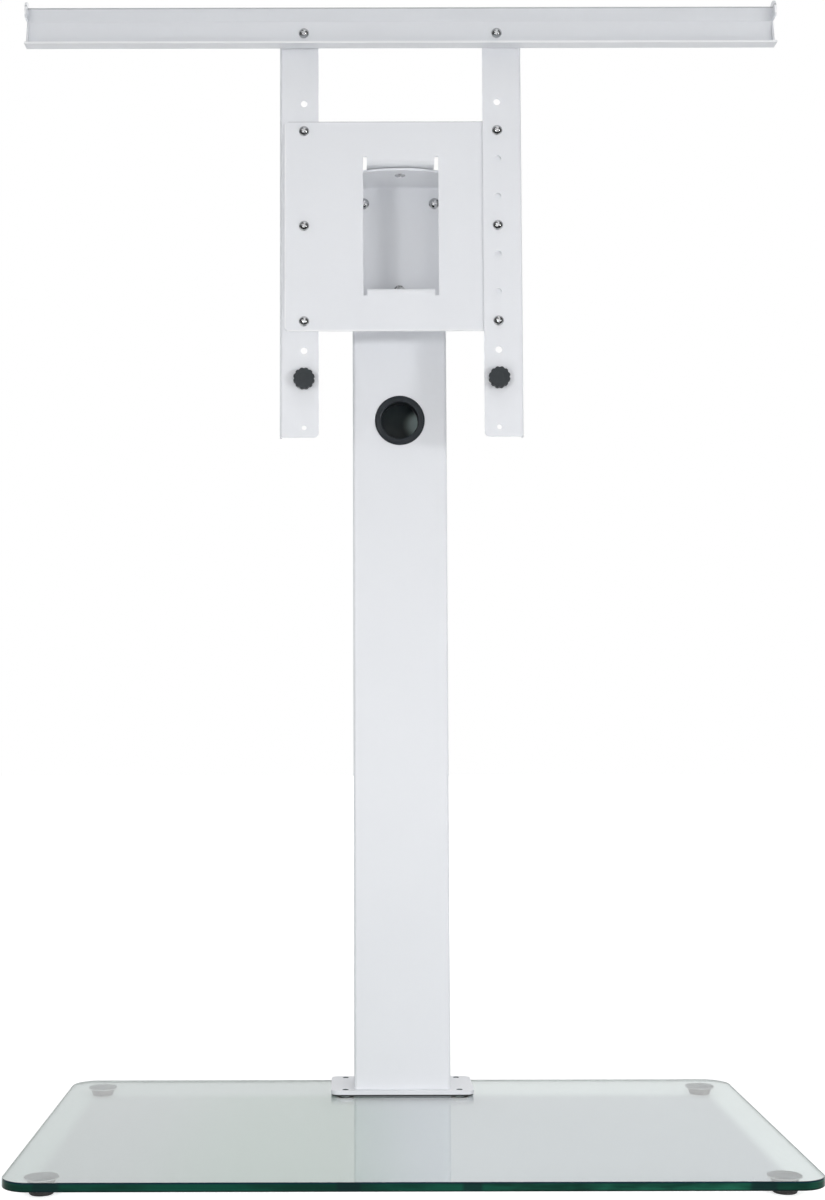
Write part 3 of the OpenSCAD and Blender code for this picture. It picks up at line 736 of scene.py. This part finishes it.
# Painted shade along the rail's top edge and over its whole coat, and a painted highlight on the
# lip's front edge
rail.data.materials[0] = powder_coat(
    "powder_coat_rail",
    painted_shade_lines=[("Z", rail_edge - 1.8 * MM, rail_edge)],
    painted_highlight_lines=[("Y", rail_low.y - MM, rail_low.y + 0.5 * MM)],
    painted_grey_share=0.2,
)


# ---- screws, nuts and washers ----

M6_CREST_R = 2.96 * MM
M6_ROOT_R = 2.5 * MM
M6_PITCH = 1 * MM
THREAD_SIDES = 24
HEAD_RIM = 0.6 * MM
HEAD_LEDGE = 0.15 * MM
NUT_ACROSS = 10 * MM
NUT_HEIGHT = 5 * MM
NUT_BORE_R = 3.05 * MM
CHAMFER_SLOPE = 0.58
RECESS_TURN = 20


def thread(name, low, high):
    """An M6 thread from one height to another, chamfered at its upper end."""
    depth = M6_CREST_R - M6_ROOT_R
    tooth = [(0, 0.1), (depth, 0.44), (depth, 0.56), (0, 0.9), (0, 1)]
    bpy.ops.mesh.primitive_plane_add(size=M6_PITCH, location=(0, 0, 0))
    piece = settle(bpy.context.object, Matrix.Translation((M6_ROOT_R, 0, low - 2 * M6_PITCH)))
    piece.name = name
    open_edit(piece)
    bpy.ops.mesh.select_all(action="SELECT")
    bpy.ops.mesh.merge(type="CENTER")
    rise = 0
    reach = 0
    for out, up in tooth:
        step = (out - reach, 0, (up - rise) * M6_PITCH)
        bpy.ops.mesh.extrude_vertices_move(TRANSFORM_OT_translate={"value": step})
        reach, rise = out, up
    close_edit()
    turns = math.ceil((high - low) / M6_PITCH) + 3
    modify(
        piece, "SCREW", angle=math.tau, screw_offset=M6_PITCH, iterations=turns,
        steps=THREAD_SIDES, render_steps=THREAD_SIDES,
        use_merge_vertices=True, merge_threshold=FINE,
    )
    open_edit(piece)
    bpy.ops.mesh.select_all(action="SELECT")
    bpy.ops.mesh.remove_doubles(threshold=FINE / 2)
    for height, side in ((low, "clear_inner"), (high, "clear_outer")):
        bpy.ops.mesh.select_all(action="SELECT")
        bpy.ops.mesh.bisect(
            plane_co=(0, 0, height), plane_no=(0, 0, 1), use_fill=True, threshold=FINE / 100,
            **{side: True},
        )
    close_edit()
    outward(piece)
    point = turned(name + "_point", [
        (M6_CREST_R * 2, low - 2 * M6_PITCH), (M6_CREST_R * 2, high - M6_PITCH),
        (M6_CREST_R, high - 0.7 * M6_PITCH), (M6_ROOT_R - 0.3 * MM, high + FINE),
    ], 48)
    close_ends(point)
    cut(piece, point, "INTERSECT")
    return piece


def cross_recess(name, length, depth, face):
    """The tapered cross that a screwdriver fits, cut into a face that looks down."""
    arms = []
    for turn in (RECESS_TURN, RECESS_TURN + 90):
        bpy.ops.mesh.primitive_cube_add(size=1, location=(0, 0, 0))
        arm = bpy.context.object
        arm.scale = (length, length * 0.26, depth)
        arm.rotation_euler.z = math.radians(turn)
        settle(arm, Matrix.Translation((0, 0, face + depth / 2)))
        pick(arm, "VERT", lambda corner: corner.co.z > face + depth / 2)
        bpy.ops.transform.resize(value=(0.5, 0.5, 1), center_override=(0, 0, 0))
        close_edit()
        arms.append(arm)
    cut(arms[0], arms[1], "UNION")
    arms[0].name = name
    return arms[0]


def screw(name, head_d, head_h, length):
    """A domed screw that points up: its head hangs below height 0."""
    foot_r = head_d / 2 - HEAD_LEDGE
    dome_h = head_h - HEAD_RIM
    dome_r = (foot_r ** 2 + dome_h ** 2) / (2 * dome_h)
    rings = 8
    dome = []
    for k in range(rings):
        r = foot_r * math.cos(math.pi / 2 * k / rings)
        dome.append((r, -HEAD_RIM - dome_h + dome_r - math.sqrt(dome_r ** 2 - r ** 2)))
    rim_r = head_d / 2
    edge = 0.12 * MM
    head = turned(name, [
        (M6_ROOT_R, 0), (rim_r - edge, 0), (rim_r, -edge), (rim_r, -HEAD_RIM + edge),
        (rim_r - edge, -HEAD_RIM), *dome, (0.3 * MM, -head_h),
    ], 48)
    close_ends(head)
    cut(head, cross_recess(name + "_recess", head_d * 0.56, head_h * 0.62, -head_h - 0.1 * MM))
    cut(head, thread(name + "_thread", -0.3 * MM, length), "UNION")
    smooth(head, THREAD_SMOOTH_ANGLE)
    mark_recess(head, head_d, head_h, dome_r)
    return head


def mark_recess(head, head_d, head_h, dome_r):
    """Marks the faces that lie below the dome in the head's middle, where the nickel finish paints
    a highlight.
    """
    recess = head.data.attributes.new("recess", "FLOAT", "FACE")
    for face in head.data.polygons:
        out = face.center.xy.length
        if out < head_d * 0.3 and face.center.z < -HEAD_RIM:
            dome_z = dome_r - math.sqrt(dome_r ** 2 - out ** 2) - head_h
            recess.data[face.index].value = float(face.center.z - dome_z > 0.1 * MM)


def hexagon(name, across, height, bore_r):
    """A hexagon nut standing on height 0, with its corners turned off and its bore countersunk."""
    corner_r = across / 2 / math.cos(math.pi / 6)
    bpy.ops.mesh.primitive_cylinder_add(
        vertices=6, radius=corner_r, depth=height, location=(0, 0, height / 2)
    )
    nut = settle(bpy.context.object)
    nut.name = name
    # The blank's cones run on past the nut's ends, so that no faces of both share a plane
    face_r, past = across / 2 * 0.97, 0.3 * MM
    drop = (corner_r - face_r) * CHAMFER_SLOPE
    end_r = face_r - past / CHAMFER_SLOPE
    blank = turned(name + "_blank", [
        (end_r, -past), (corner_r + FINE, drop), (corner_r + FINE, height - drop),
        (end_r, height + past),
    ], 96)
    close_ends(blank)
    cut(nut, blank, "INTERSECT")
    sink = 0.5 * MM
    bore = turned(name + "_bore", [
        (bore_r + 2 * sink, -sink), (bore_r, sink), (bore_r, height - sink),
        (bore_r + 2 * sink, height + sink),
    ], 48)
    close_ends(bore)
    cut(nut, bore)
    return nut


def plain_nut():
    """A hexagon nut with slightly worn edges."""
    nut = hexagon("nut_pattern", NUT_ACROSS, NUT_HEIGHT, NUT_BORE_R)
    soften(nut, 0.12 * MM, 1, 50)
    smooth(nut)
    return nut


NUT_SHOULDER = 3.7 * MM
COLLAR_R = 4.5 * MM


def lock_nut():
    """A lock nut: a shorter hexagon under a rounded collar."""
    nut = hexagon("lock_nut_pattern", NUT_ACROSS, NUT_SHOULDER, NUT_BORE_R)
    collar = turned("collar", [
        (COLLAR_R - 0.6 * MM, NUT_SHOULDER - 0.3 * MM), (COLLAR_R, NUT_SHOULDER - 0.3 * MM),
        (COLLAR_R, NUT_HEIGHT - 0.7 * MM), (COLLAR_R - 0.25 * MM, NUT_HEIGHT - 0.2 * MM),
        (COLLAR_R - 0.7 * MM, NUT_HEIGHT), (COLLAR_R - 1 * MM, NUT_HEIGHT),
        (COLLAR_R - 1 * MM, NUT_SHOULDER - 0.3 * MM),
        (COLLAR_R - 0.6 * MM, NUT_SHOULDER - 0.3 * MM),
    ])
    outward(collar)
    cut(nut, collar, "UNION")
    smooth(nut)
    return nut


def flat_ring(name, outer_d, inner_d, thickness, edge):
    """A washer or spacer lying on height 0, with broken edges."""
    return turned_ring(name, [
        (inner_d / 2, 0), (outer_d / 2, 0), (outer_d / 2, thickness), (inner_d / 2, thickness),
    ], edge)


def at(x, y, z, turn=UP):
    """The place of a copy, turned before it moves there."""
    return Matrix.Translation((x, y, z)) @ turn


def place_all(pattern, node, name, matrices, finish=None):
    """Copies of the pattern that stand for the node. The pattern is used up."""
    piece = repeated(pattern, name, matrices)
    bpy.data.objects.remove(pattern)
    return dress(piece, node, finish)


# ---- base ----

GLASS_CORNER = 25 * MM
GLASS_ARRIS = 0.8 * MM
SLEEVE_D = 9.9 * MM
SLEEVE_HOLE_R = 5 * MM
CLEAR_HOLE_D = 6.5 * MM
SNUG_HOLE_D = 6.1 * MM
WASHER_D = 18 * MM
BIG_HEAD = (2 * BASE_HEAD_R, 3.4 * MM)
DISC_R = 15 * MM
FOOT_TOP_R = 12.5 * MM
FOOT_FLOOR_R = 10.25 * MM


def four_centres(box, radius):
    """Centres of the four round parts of this radius in the corners of their box."""
    low, high = box
    return [
        (x, y)
        for x in (low.x + radius, high.x - radius) for y in (low.y + radius, high.y - radius)
    ]


bolt_centres = four_centres(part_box("base_bolts"), BASE_HEAD_R)
foot_centres = four_centres(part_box("rubber_feet"), FOOT_TOP_R)


def glass_sheet():
    """The sheet with rounded corners, broken edges and its four bolt holes."""
    bpy.ops.mesh.primitive_cube_add(size=1, location=(glass_low + glass_high) / 2)
    piece = bpy.context.object
    piece.name = "glass_sheet"
    piece.scale = glass_size
    settle(piece)
    points = piece.data.vertices

    def upright(edge):
        start, end = (points[index].co for index in edge.vertices)
        return start.xy == end.xy

    pick(piece, "EDGE", upright)
    bpy.ops.mesh.bevel(offset=GLASS_CORNER, segments=24, affect="EDGES")
    close_edit()
    soften(piece, GLASS_ARRIS, 3, 60)
    for x, y in bolt_centres:
        bpy.ops.mesh.primitive_cylinder_add(
            vertices=48, radius=SLEEVE_HOLE_R, depth=4 * glass_size.z,
            location=(x, y, glass_low.z),
        )
        cut(piece, settle(bpy.context.object))
    smooth(piece)
    dress(piece, "glass_base")


def rubber_foot():
    """A tapered foot with a rounded floor edge and a shallow hollow in its sole."""
    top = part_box("rubber_feet")[1].z
    corners = [
        (3 * MM, 0.8 * MM), (5 * MM, 0.8 * MM), (6 * MM, 0), (FOOT_FLOOR_R, 0),
        (FOOT_FLOOR_R + 0.4 * MM, 1.6 * MM), (FOOT_TOP_R, top - 0.6 * MM),
        (FOOT_TOP_R, top), (3 * MM, top),
    ]
    foot = turned("foot_pattern", rounded(corners, 1.2 * MM)[2:-2])
    close_ends(foot)
    smooth(foot)
    return foot


def make_base():
    glass_sheet()
    low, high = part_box("foot_discs")
    disc = turned("disc_pattern", [
        (2 * MM, low.z), (DISC_R - 0.3 * MM, low.z), (DISC_R, low.z + 0.3 * MM),
        (DISC_R, high.z - 0.2 * MM), (DISC_R - 0.2 * MM, high.z), (2 * MM, high.z),
    ])
    close_ends(disc)
    smooth(disc)
    feet = [at(x, y, 0) for x, y in foot_centres]
    place_all(disc, "foot_discs", "bonding_discs", feet)
    place_all(rubber_foot(), "rubber_feet", "rubber_feet_turned", feet)
    # The soft washers are pale: white spots show through the glass there
    stack = (
        ("glass_sleeves", SLEEVE_D, glass_size.z, 0.3 * MM, "nylon"),
        ("rubber_washers", WASHER_D, 1.4 * MM, 0.3 * MM, "nylon"),
        ("steel_washers", WASHER_D, 1.5 * MM, 0.2 * MM, "zinc"),
    )
    for node, outer_d, thickness, edge, finish in stack:
        ring = flat_ring(node + "_pattern", outer_d, CLEAR_HOLE_D, thickness, edge)
        places = [at(x, y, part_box(node)[0].z) for x, y in bolt_centres]
        place_all(ring, node, node + "_turned", places, finish)
    low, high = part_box("base_bolts")
    seat = low.z + BIG_HEAD[1]
    bolt = screw("base_bolt", *BIG_HEAD, high.z - seat)
    places = [at(x, y, seat) for x, y in bolt_centres]
    place_all(bolt, "base_bolts", "base_bolts_threaded", places)


# ---- column ----

GROMMET_R = 26.5 * MM
GROMMET_BORE_R = 19.5 * MM
GROMMET_RING = 2.6 * MM
SLEEVE_R = 21.8 * MM
BARB_R = 22.8 * MM


def grommet(name, node, turn):
    """A ring with a rolled lip outside the wall, and a barbed sleeve inside it."""
    low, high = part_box(node)
    front = turn is TO_BACK
    wall_face = low.y + GROMMET_RING if front else high.y - GROMMET_RING
    length = (high.y - low.y) - GROMMET_RING
    barb = WALL + 0.2 * MM
    # Each corner of the section, with the radius in millimetres that rounds it
    section = [
        (GROMMET_BORE_R, -GROMMET_RING + 0.9 * MM, 0.7),
        (GROMMET_BORE_R + 1.2 * MM, -GROMMET_RING, 0.8),
        (GROMMET_R - 1.9 * MM, -GROMMET_RING, 1.4),
        (GROMMET_R, -GROMMET_RING + 1.7 * MM, 0.6),
        (GROMMET_R, 0, 0.1), (SLEEVE_R, 0, 0.1), (SLEEVE_R, barb, 0.1), (BARB_R, barb, 0.2),
        (SLEEVE_R, barb + WALL, 0.3), (SLEEVE_R - 0.4 * MM, length, 0.4),
        (GROMMET_BORE_R, length, 0.4),
    ]
    profile = []
    for index, (*corner, radius) in enumerate(section):
        before, after = section[index - 1][:2], section[(index + 1) % len(section)][:2]
        profile += rounded([before, corner, after], radius * MM, 4)[5:10]
    ring = turned(name + "_pattern", profile + profile[:1], 96)
    outward(ring)
    smooth(ring, MOULDED_SMOOTH_ANGLE)
    place_all(ring, node, name, [at(0, wall_face, (low.z + high.z) / 2, turn)])


def make_column():
    grommet("front_grommet_moulded", "front_grommet", TO_BACK)
    grommet("rear_grommet_moulded", "rear_grommet", TO_FRONT)


# ---- places on the bracket, plate and arms ----

ARM_X = 0.1
HEAD_MIDDLE = 0.912
STATION_PITCH = 0.1
STATIONS = (HEAD_MIDDLE + STATION_PITCH, HEAD_MIDDLE, HEAD_MIDDLE - STATION_PITCH)
RAIL_SCREW_Z = 1.1145
KNOB_Z = 0.752
SMALL_HEAD = (10.5 * MM, 3.2 * MM)
PIVOT_HEAD = (11 * MM, 2.4 * MM)
HEAD_SHEET = 2.5 * MM
BRACKET_SCREW_X = 0.038
BRACKET_SCREW_RISE = 0.0475
bracket_low, bracket_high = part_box("swivel_bracket")
bracket_middle = (bracket_low.z + bracket_high.z) / 2
web_front = bracket_high.y - HEAD_SHEET
pivot_y = sum(corner.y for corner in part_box("friction_washers")) / 2
bracket_screw_places = [
    (-BRACKET_SCREW_X, bracket_middle + BRACKET_SCREW_RISE),
    (BRACKET_SCREW_X, bracket_middle + BRACKET_SCREW_RISE),
    (0, bracket_middle - BRACKET_SCREW_RISE),
]


def make_bracket_fasteners():
    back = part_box("bracket_screws")[1].y
    bolt = screw("bracket_screw", *BIG_HEAD, back - web_front)
    places = [at(x, web_front, z, TO_BACK) for x, z in bracket_screw_places]
    place_all(bolt, "bracket_screws", "bracket_screws_domed", places)
    nut_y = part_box("column_weld_nuts")[0].y
    nuts = [at(x, nut_y, z, TO_BACK) for x, z in bracket_screw_places]
    place_all(plain_nut(), "column_weld_nuts", "weld_nuts", nuts)


def make_pivots():
    """The bolt, washers and lock nut of both pivots, the lower ones first."""
    floors = (bracket_low.z, bracket_high.z - HEAD_SHEET)
    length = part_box("pivot_bolts")[1].z - floors[1]
    bolt = screw("pivot_bolt", *PIVOT_HEAD, length)
    place_all(bolt, "pivot_bolts", "pivot_bolts_threaded", [at(0, pivot_y, z) for z in floors])
    pivot_span = floors[1] - floors[0]
    rows = (
        ("friction_washers", flat_ring("nylon_washer", 26 * MM, SNUG_HOLE_D, 0.9 * MM, 0.2 * MM)),
        ("pivot_washers", flat_ring("pivot_washer", WASHER_D, SNUG_HOLE_D, 1.2 * MM, 0.2 * MM)),
        ("pivot_lock_nuts", lock_nut()),
    )
    for node, pattern in rows:
        low_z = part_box(node)[0].z
        heights = (low_z, low_z + pivot_span)
        place_all(pattern, node, node + "_shaped", [at(0, pivot_y, z) for z in heights])


# ---- mount head ----


def make_head_fasteners():
    plate_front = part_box("mount_plate")[0].y
    plate_back = plate_front + HEAD_SHEET
    left_front, right_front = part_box("left_arm")[0].y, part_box("right_arm")[0].y
    arm_back = {-ARM_X: left_front + WALL, ARM_X: right_front + WALL}
    rail_front = right_front - WALL
    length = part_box("arm_screws")[1].y - plate_front
    arm_screw = screw("arm_screw", *SMALL_HEAD, length)
    fronts = {-ARM_X: plate_front, ARM_X: right_front}
    places = [at(x, y, z, TO_BACK) for x, y in fronts.items() for z in STATIONS]
    place_all(arm_screw, "arm_screws", "arm_screws_domed", places)
    seats = {-ARM_X: arm_back[-ARM_X], ARM_X: plate_back}
    nuts = [at(x, y, z, TO_BACK) for x, y in seats.items() for z in STATIONS]
    place_all(plain_nut(), "arm_nuts", "arm_nuts_hexagon", nuts)

    spacer_low, spacer_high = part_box("rail_spacer")
    spacer_t = spacer_high.y - spacer_low.y
    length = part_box("rail_screws")[1].y - rail_front
    long_screw = screw("rail_screw_left", *SMALL_HEAD, length)
    short_screw = screw("rail_screw_right", *SMALL_HEAD, length - spacer_t)
    pair = [
        settle(piece, at(x, rail_front, RAIL_SCREW_Z, TO_BACK))
        for piece, x in ((long_screw, -ARM_X), (short_screw, ARM_X))
    ]
    dress(joined(pair, "rail_screws_domed"), "rail_screws")
    rail_nuts = [at(x, arm_back[x], RAIL_SCREW_Z, TO_BACK) for x in (-ARM_X, ARM_X)]
    place_all(plain_nut(), "rail_nuts", "rail_nuts_hexagon", rail_nuts)
    spacer = flat_ring("spacer", 14 * MM, CLEAR_HOLE_D, spacer_t, 0.4 * MM)
    spacer_at = at(-ARM_X, spacer_low.y, RAIL_SCREW_Z, TO_BACK)
    place_all(spacer, "rail_spacer", "rail_spacer_turned", [spacer_at])
    knob_nuts = [at(x, arm_back[x], KNOB_Z, TO_BACK) for x in (-ARM_X, ARM_X)]
    place_all(plain_nut(), "knob_nuts", "knob_nuts_hexagon", knob_nuts)


KNOB_R = 11 * MM
KNOB_T = 8 * MM
KNOB_EDGE = 1.2 * MM
KNOB_SCALLOPS = 12
SCALLOP_DEPTH = 1 * MM
SCALLOP_R = 2.4 * MM
DIMPLE_R = 6 * MM
DIMPLE_DEPTH = 0.4 * MM
BORE_DEPTH = 6 * MM


def knob_pattern():
    """A scalloped knob with its back on height 0 and its dimpled face below."""
    outline = [(2 * MM, 0), (KNOB_R, 0), (KNOB_R, -KNOB_T), (2 * MM, -KNOB_T)]
    profile = [outline[0], *rounded(outline, KNOB_EDGE)[5:15], outline[3]]
    knob = turned("knob_pattern", profile, 144)
    close_ends(knob)
    cutters = []
    for step in range(KNOB_SCALLOPS):
        turn = math.tau * step / KNOB_SCALLOPS
        out = KNOB_R + SCALLOP_R - SCALLOP_DEPTH
        bpy.ops.mesh.primitive_cylinder_add(
            vertices=48, radius=SCALLOP_R, depth=3 * KNOB_T,
            location=(out * math.cos(turn), out * math.sin(turn), -KNOB_T / 2),
        )
        cutters.append(settle(bpy.context.object))
    cut(knob, joined(cutters, "scallops"))
    for radius, depth, face in (
        (NUT_BORE_R, BORE_DEPTH, 0), (DIMPLE_R, DIMPLE_DEPTH, -KNOB_T),
    ):
        bpy.ops.mesh.primitive_cylinder_add(
            vertices=64, radius=radius, depth=2 * depth, location=(0, 0, face)
        )
        cut(knob, settle(bpy.context.object))
    outward(knob)
    soften(knob, 0.12 * MM, 2, 40)
    smooth(knob, MOULDED_SMOOTH_ANGLE)
    return knob


def make_knobs():
    for side, x in (("left", -ARM_X), ("right", ARM_X)):
        knob_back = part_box(side + "_knob")[1].y
        place = at(x, knob_back, KNOB_Z, TO_BACK)
        place_all(knob_pattern(), side + "_knob", side + "_knob_moulded", [place])
        node = side + "_knob_stud"
        low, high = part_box(node)
        stud = thread(node + "_pattern", low.y - knob_back, high.y - knob_back)
        smooth(stud, THREAD_SMOOTH_ANGLE)
        place_all(stud, node, node + "_threaded", [place])


make_base()
make_column()
make_bracket_fasteners()
make_pivots()
make_head_fasteners()
make_knobs()


# ---- stage ----

FLOOR_HALF = 12
FLOOR_GLOW = 0.62
WORLD_LEVEL = 0.29
SKY_LEVEL = 0.54
SOFTBOX_LEVEL = 1.3
BACKDROP_LEVEL = 0.78
ROOM_LEVEL = 0.10
FLOOR_ALBEDO = 0.7
# The shade under the glass ends this far inside its edges
SIDE_BAND = 0.024
SIDE_BLUR = 0.007
BACK_BAND = 0.034
BACK_BLUR = 0.018
SHADE_RIGHT = (0.465, 0.495, 0.525)
SHADE_LEFT = (0.38, 0.41, 0.42)
SHADE_GREEN = (0.345, 0.415, 0.385)
RIM_RIGHT = (0.66, 0.71, 0.71)
RIM_LEFT = (0.465, 0.515, 0.51)


def white_floor():
    """A pale floor that meets the white background, with soft shade seen through the glass."""
    bpy.ops.mesh.primitive_plane_add(size=2 * FLOOR_HALF, location=(0, 0, 0))
    floor = bpy.context.object
    floor.name = "floor"
    finish = Finish("white_floor", (0.8, 0.8, 0.8), 0.9)
    across, along = finish.axis("X"), finish.axis("Y")
    side_at, back_at = glass_high.x - SIDE_BAND, glass_high.y - BACK_BAND
    side = finish.step(abs(across), side_at - SIDE_BLUR, side_at + SIDE_BLUR)
    back = finish.step(along, back_at - BACK_BLUR, back_at + BACK_BLUR)
    lit = finish.math("MAXIMUM", side, back)
    leftness = 1 - finish.step(across, -0.12, 0.06)
    greenness = finish.step(across, -0.28, -0.14) * (1 - finish.step(across, -0.07, 0.02))
    shade = finish.mix(leftness, SHADE_RIGHT, SHADE_LEFT)
    shade = finish.mix(greenness, shade, SHADE_GREEN)
    rim_tone = finish.mix(leftness, RIM_RIGHT, RIM_LEFT)
    through = finish.rays("Is Transmission Ray")
    tone = finish.mix(through, (1, 1, 1), finish.mix(lit, shade, rim_tone))
    far = finish.step(finish.length(across, along), 0.8, 2.2)
    # Gloss mirrors the floor behind the stand, and a dark room in front of it
    behind = finish.step(along, -0.5, -0.1)
    mirrored = finish.rays("Is Glossy Ray") * behind
    straight = finish.rays("Is Camera Ray", "Is Transmission Ray")
    strength = finish.math("MAXIMUM", straight, mirrored) * (FLOOR_GLOW + (1 - FLOOR_GLOW) * far)
    glow = finish.node("ShaderNodeEmission", None, {"Color": tone, "Strength": strength})
    seen = 1 - finish.rays("Is Glossy Ray") * (1 - behind)
    dimmed = {0: tone, "Scale": FLOOR_ALBEDO * seen}
    pale = finish.node("ShaderNodeVectorMath", {"operation": "SCALE"}, dimmed)
    matt = finish.node("ShaderNodeBsdfDiffuse", None, {"Color": pale})
    finish.surface(finish.node("ShaderNodeAddShader", None, {0: matt, 1: glow}))
    floor.data.materials.append(finish.material)


# Two softboxes in front of the stand, as directions: how far sideways and upward, and their size
SOFTBOX_SIDEWAYS = 0.30
SOFTBOX_UPWARD = 0.27
SOFTBOX_FULL, SOFTBOX_END = 0.16, 0.28


def white_world():
    """White to the camera and through glass. Gloss mirrors a backdrop, a dim room and softboxes."""
    world = bpy.data.worlds.new("studio")
    bpy.context.scene.world = world
    world.use_nodes = True
    sky = Wiring(world.node_tree, "Generated")
    base = sky.tree.nodes["Background"]
    base.inputs["Color"].default_value = (1, 1, 1, 1)
    backdrop = sky.step(sky.axis("Y"), 0.0, 0.45)
    sideways = abs(sky.axis("X")) - SOFTBOX_SIDEWAYS
    upward = sky.axis("Z") - SOFTBOX_UPWARD
    spot = 1 - sky.step(sky.length(sideways, upward), SOFTBOX_FULL, SOFTBOX_END)
    in_front = 1 - sky.step(sky.axis("Y"), -0.3, 0.0)
    mirrored = ROOM_LEVEL + (BACKDROP_LEVEL - ROOM_LEVEL) * backdrop
    mirrored = mirrored + SOFTBOX_LEVEL * spot * in_front
    glossy = sky.rays("Is Glossy Ray")
    straight = sky.rays("Is Camera Ray", "Is Transmission Ray")
    plain = WORLD_LEVEL + (SKY_LEVEL - WORLD_LEVEL) * sky.step(sky.axis("Z"), 0.0, 0.9)
    around = plain + glossy * (mirrored - plain)
    sky.tree.links.new((around + straight * (1 - around)).socket, base.inputs["Strength"])


def soft_lamp(name, place, target, size, power):
    """A square lamp of this size in metres and power in watts, turned to its target."""
    data = bpy.data.lights.new(name, "AREA")
    data.shape = "SQUARE"
    data.size = size
    data.energy = power
    lamp = bpy.data.objects.new(name, data)
    lamp.location = place
    lamp.rotation_euler = (Vector(target) - Vector(place)).to_track_quat("-Z", "Y").to_euler()
    bpy.context.scene.collection.objects.link(lamp)


white_floor()
white_world()
soft_lamp("left_softbox", (-1.2, -2.1, 0.62), (-0.994, -1.718, 0), 0.4, 21)
soft_lamp("right_softbox", (2.0, -2.05, 0.65), (1.69, -1.715, 0), 0.4, 31)
soft_lamp("low_softbox", (0.35, -1.9, 0.25), (0.25, -1.4, -0.3), 0.4, 6)
soft_lamp("top_softbox", (0.2, -0.9, 3.1), (0, 0, 0.3), 1.5, 9)
soft_lamp("back_softbox", (0.6, 3.0, 2.2), (0, 0, 0.7), 1.8, 18)
soft_lamp("rear_left_softbox", (-1.7, 2.3, 1.0), (0, 0.2, 0.7), 0.8, 5)
soft_lamp("rear_right_softbox", (2.1, 2.2, 1.0), (0, 0.2, 0.7), 0.8, 4)

bpy.context.scene.view_settings.view_transform = "Standard"
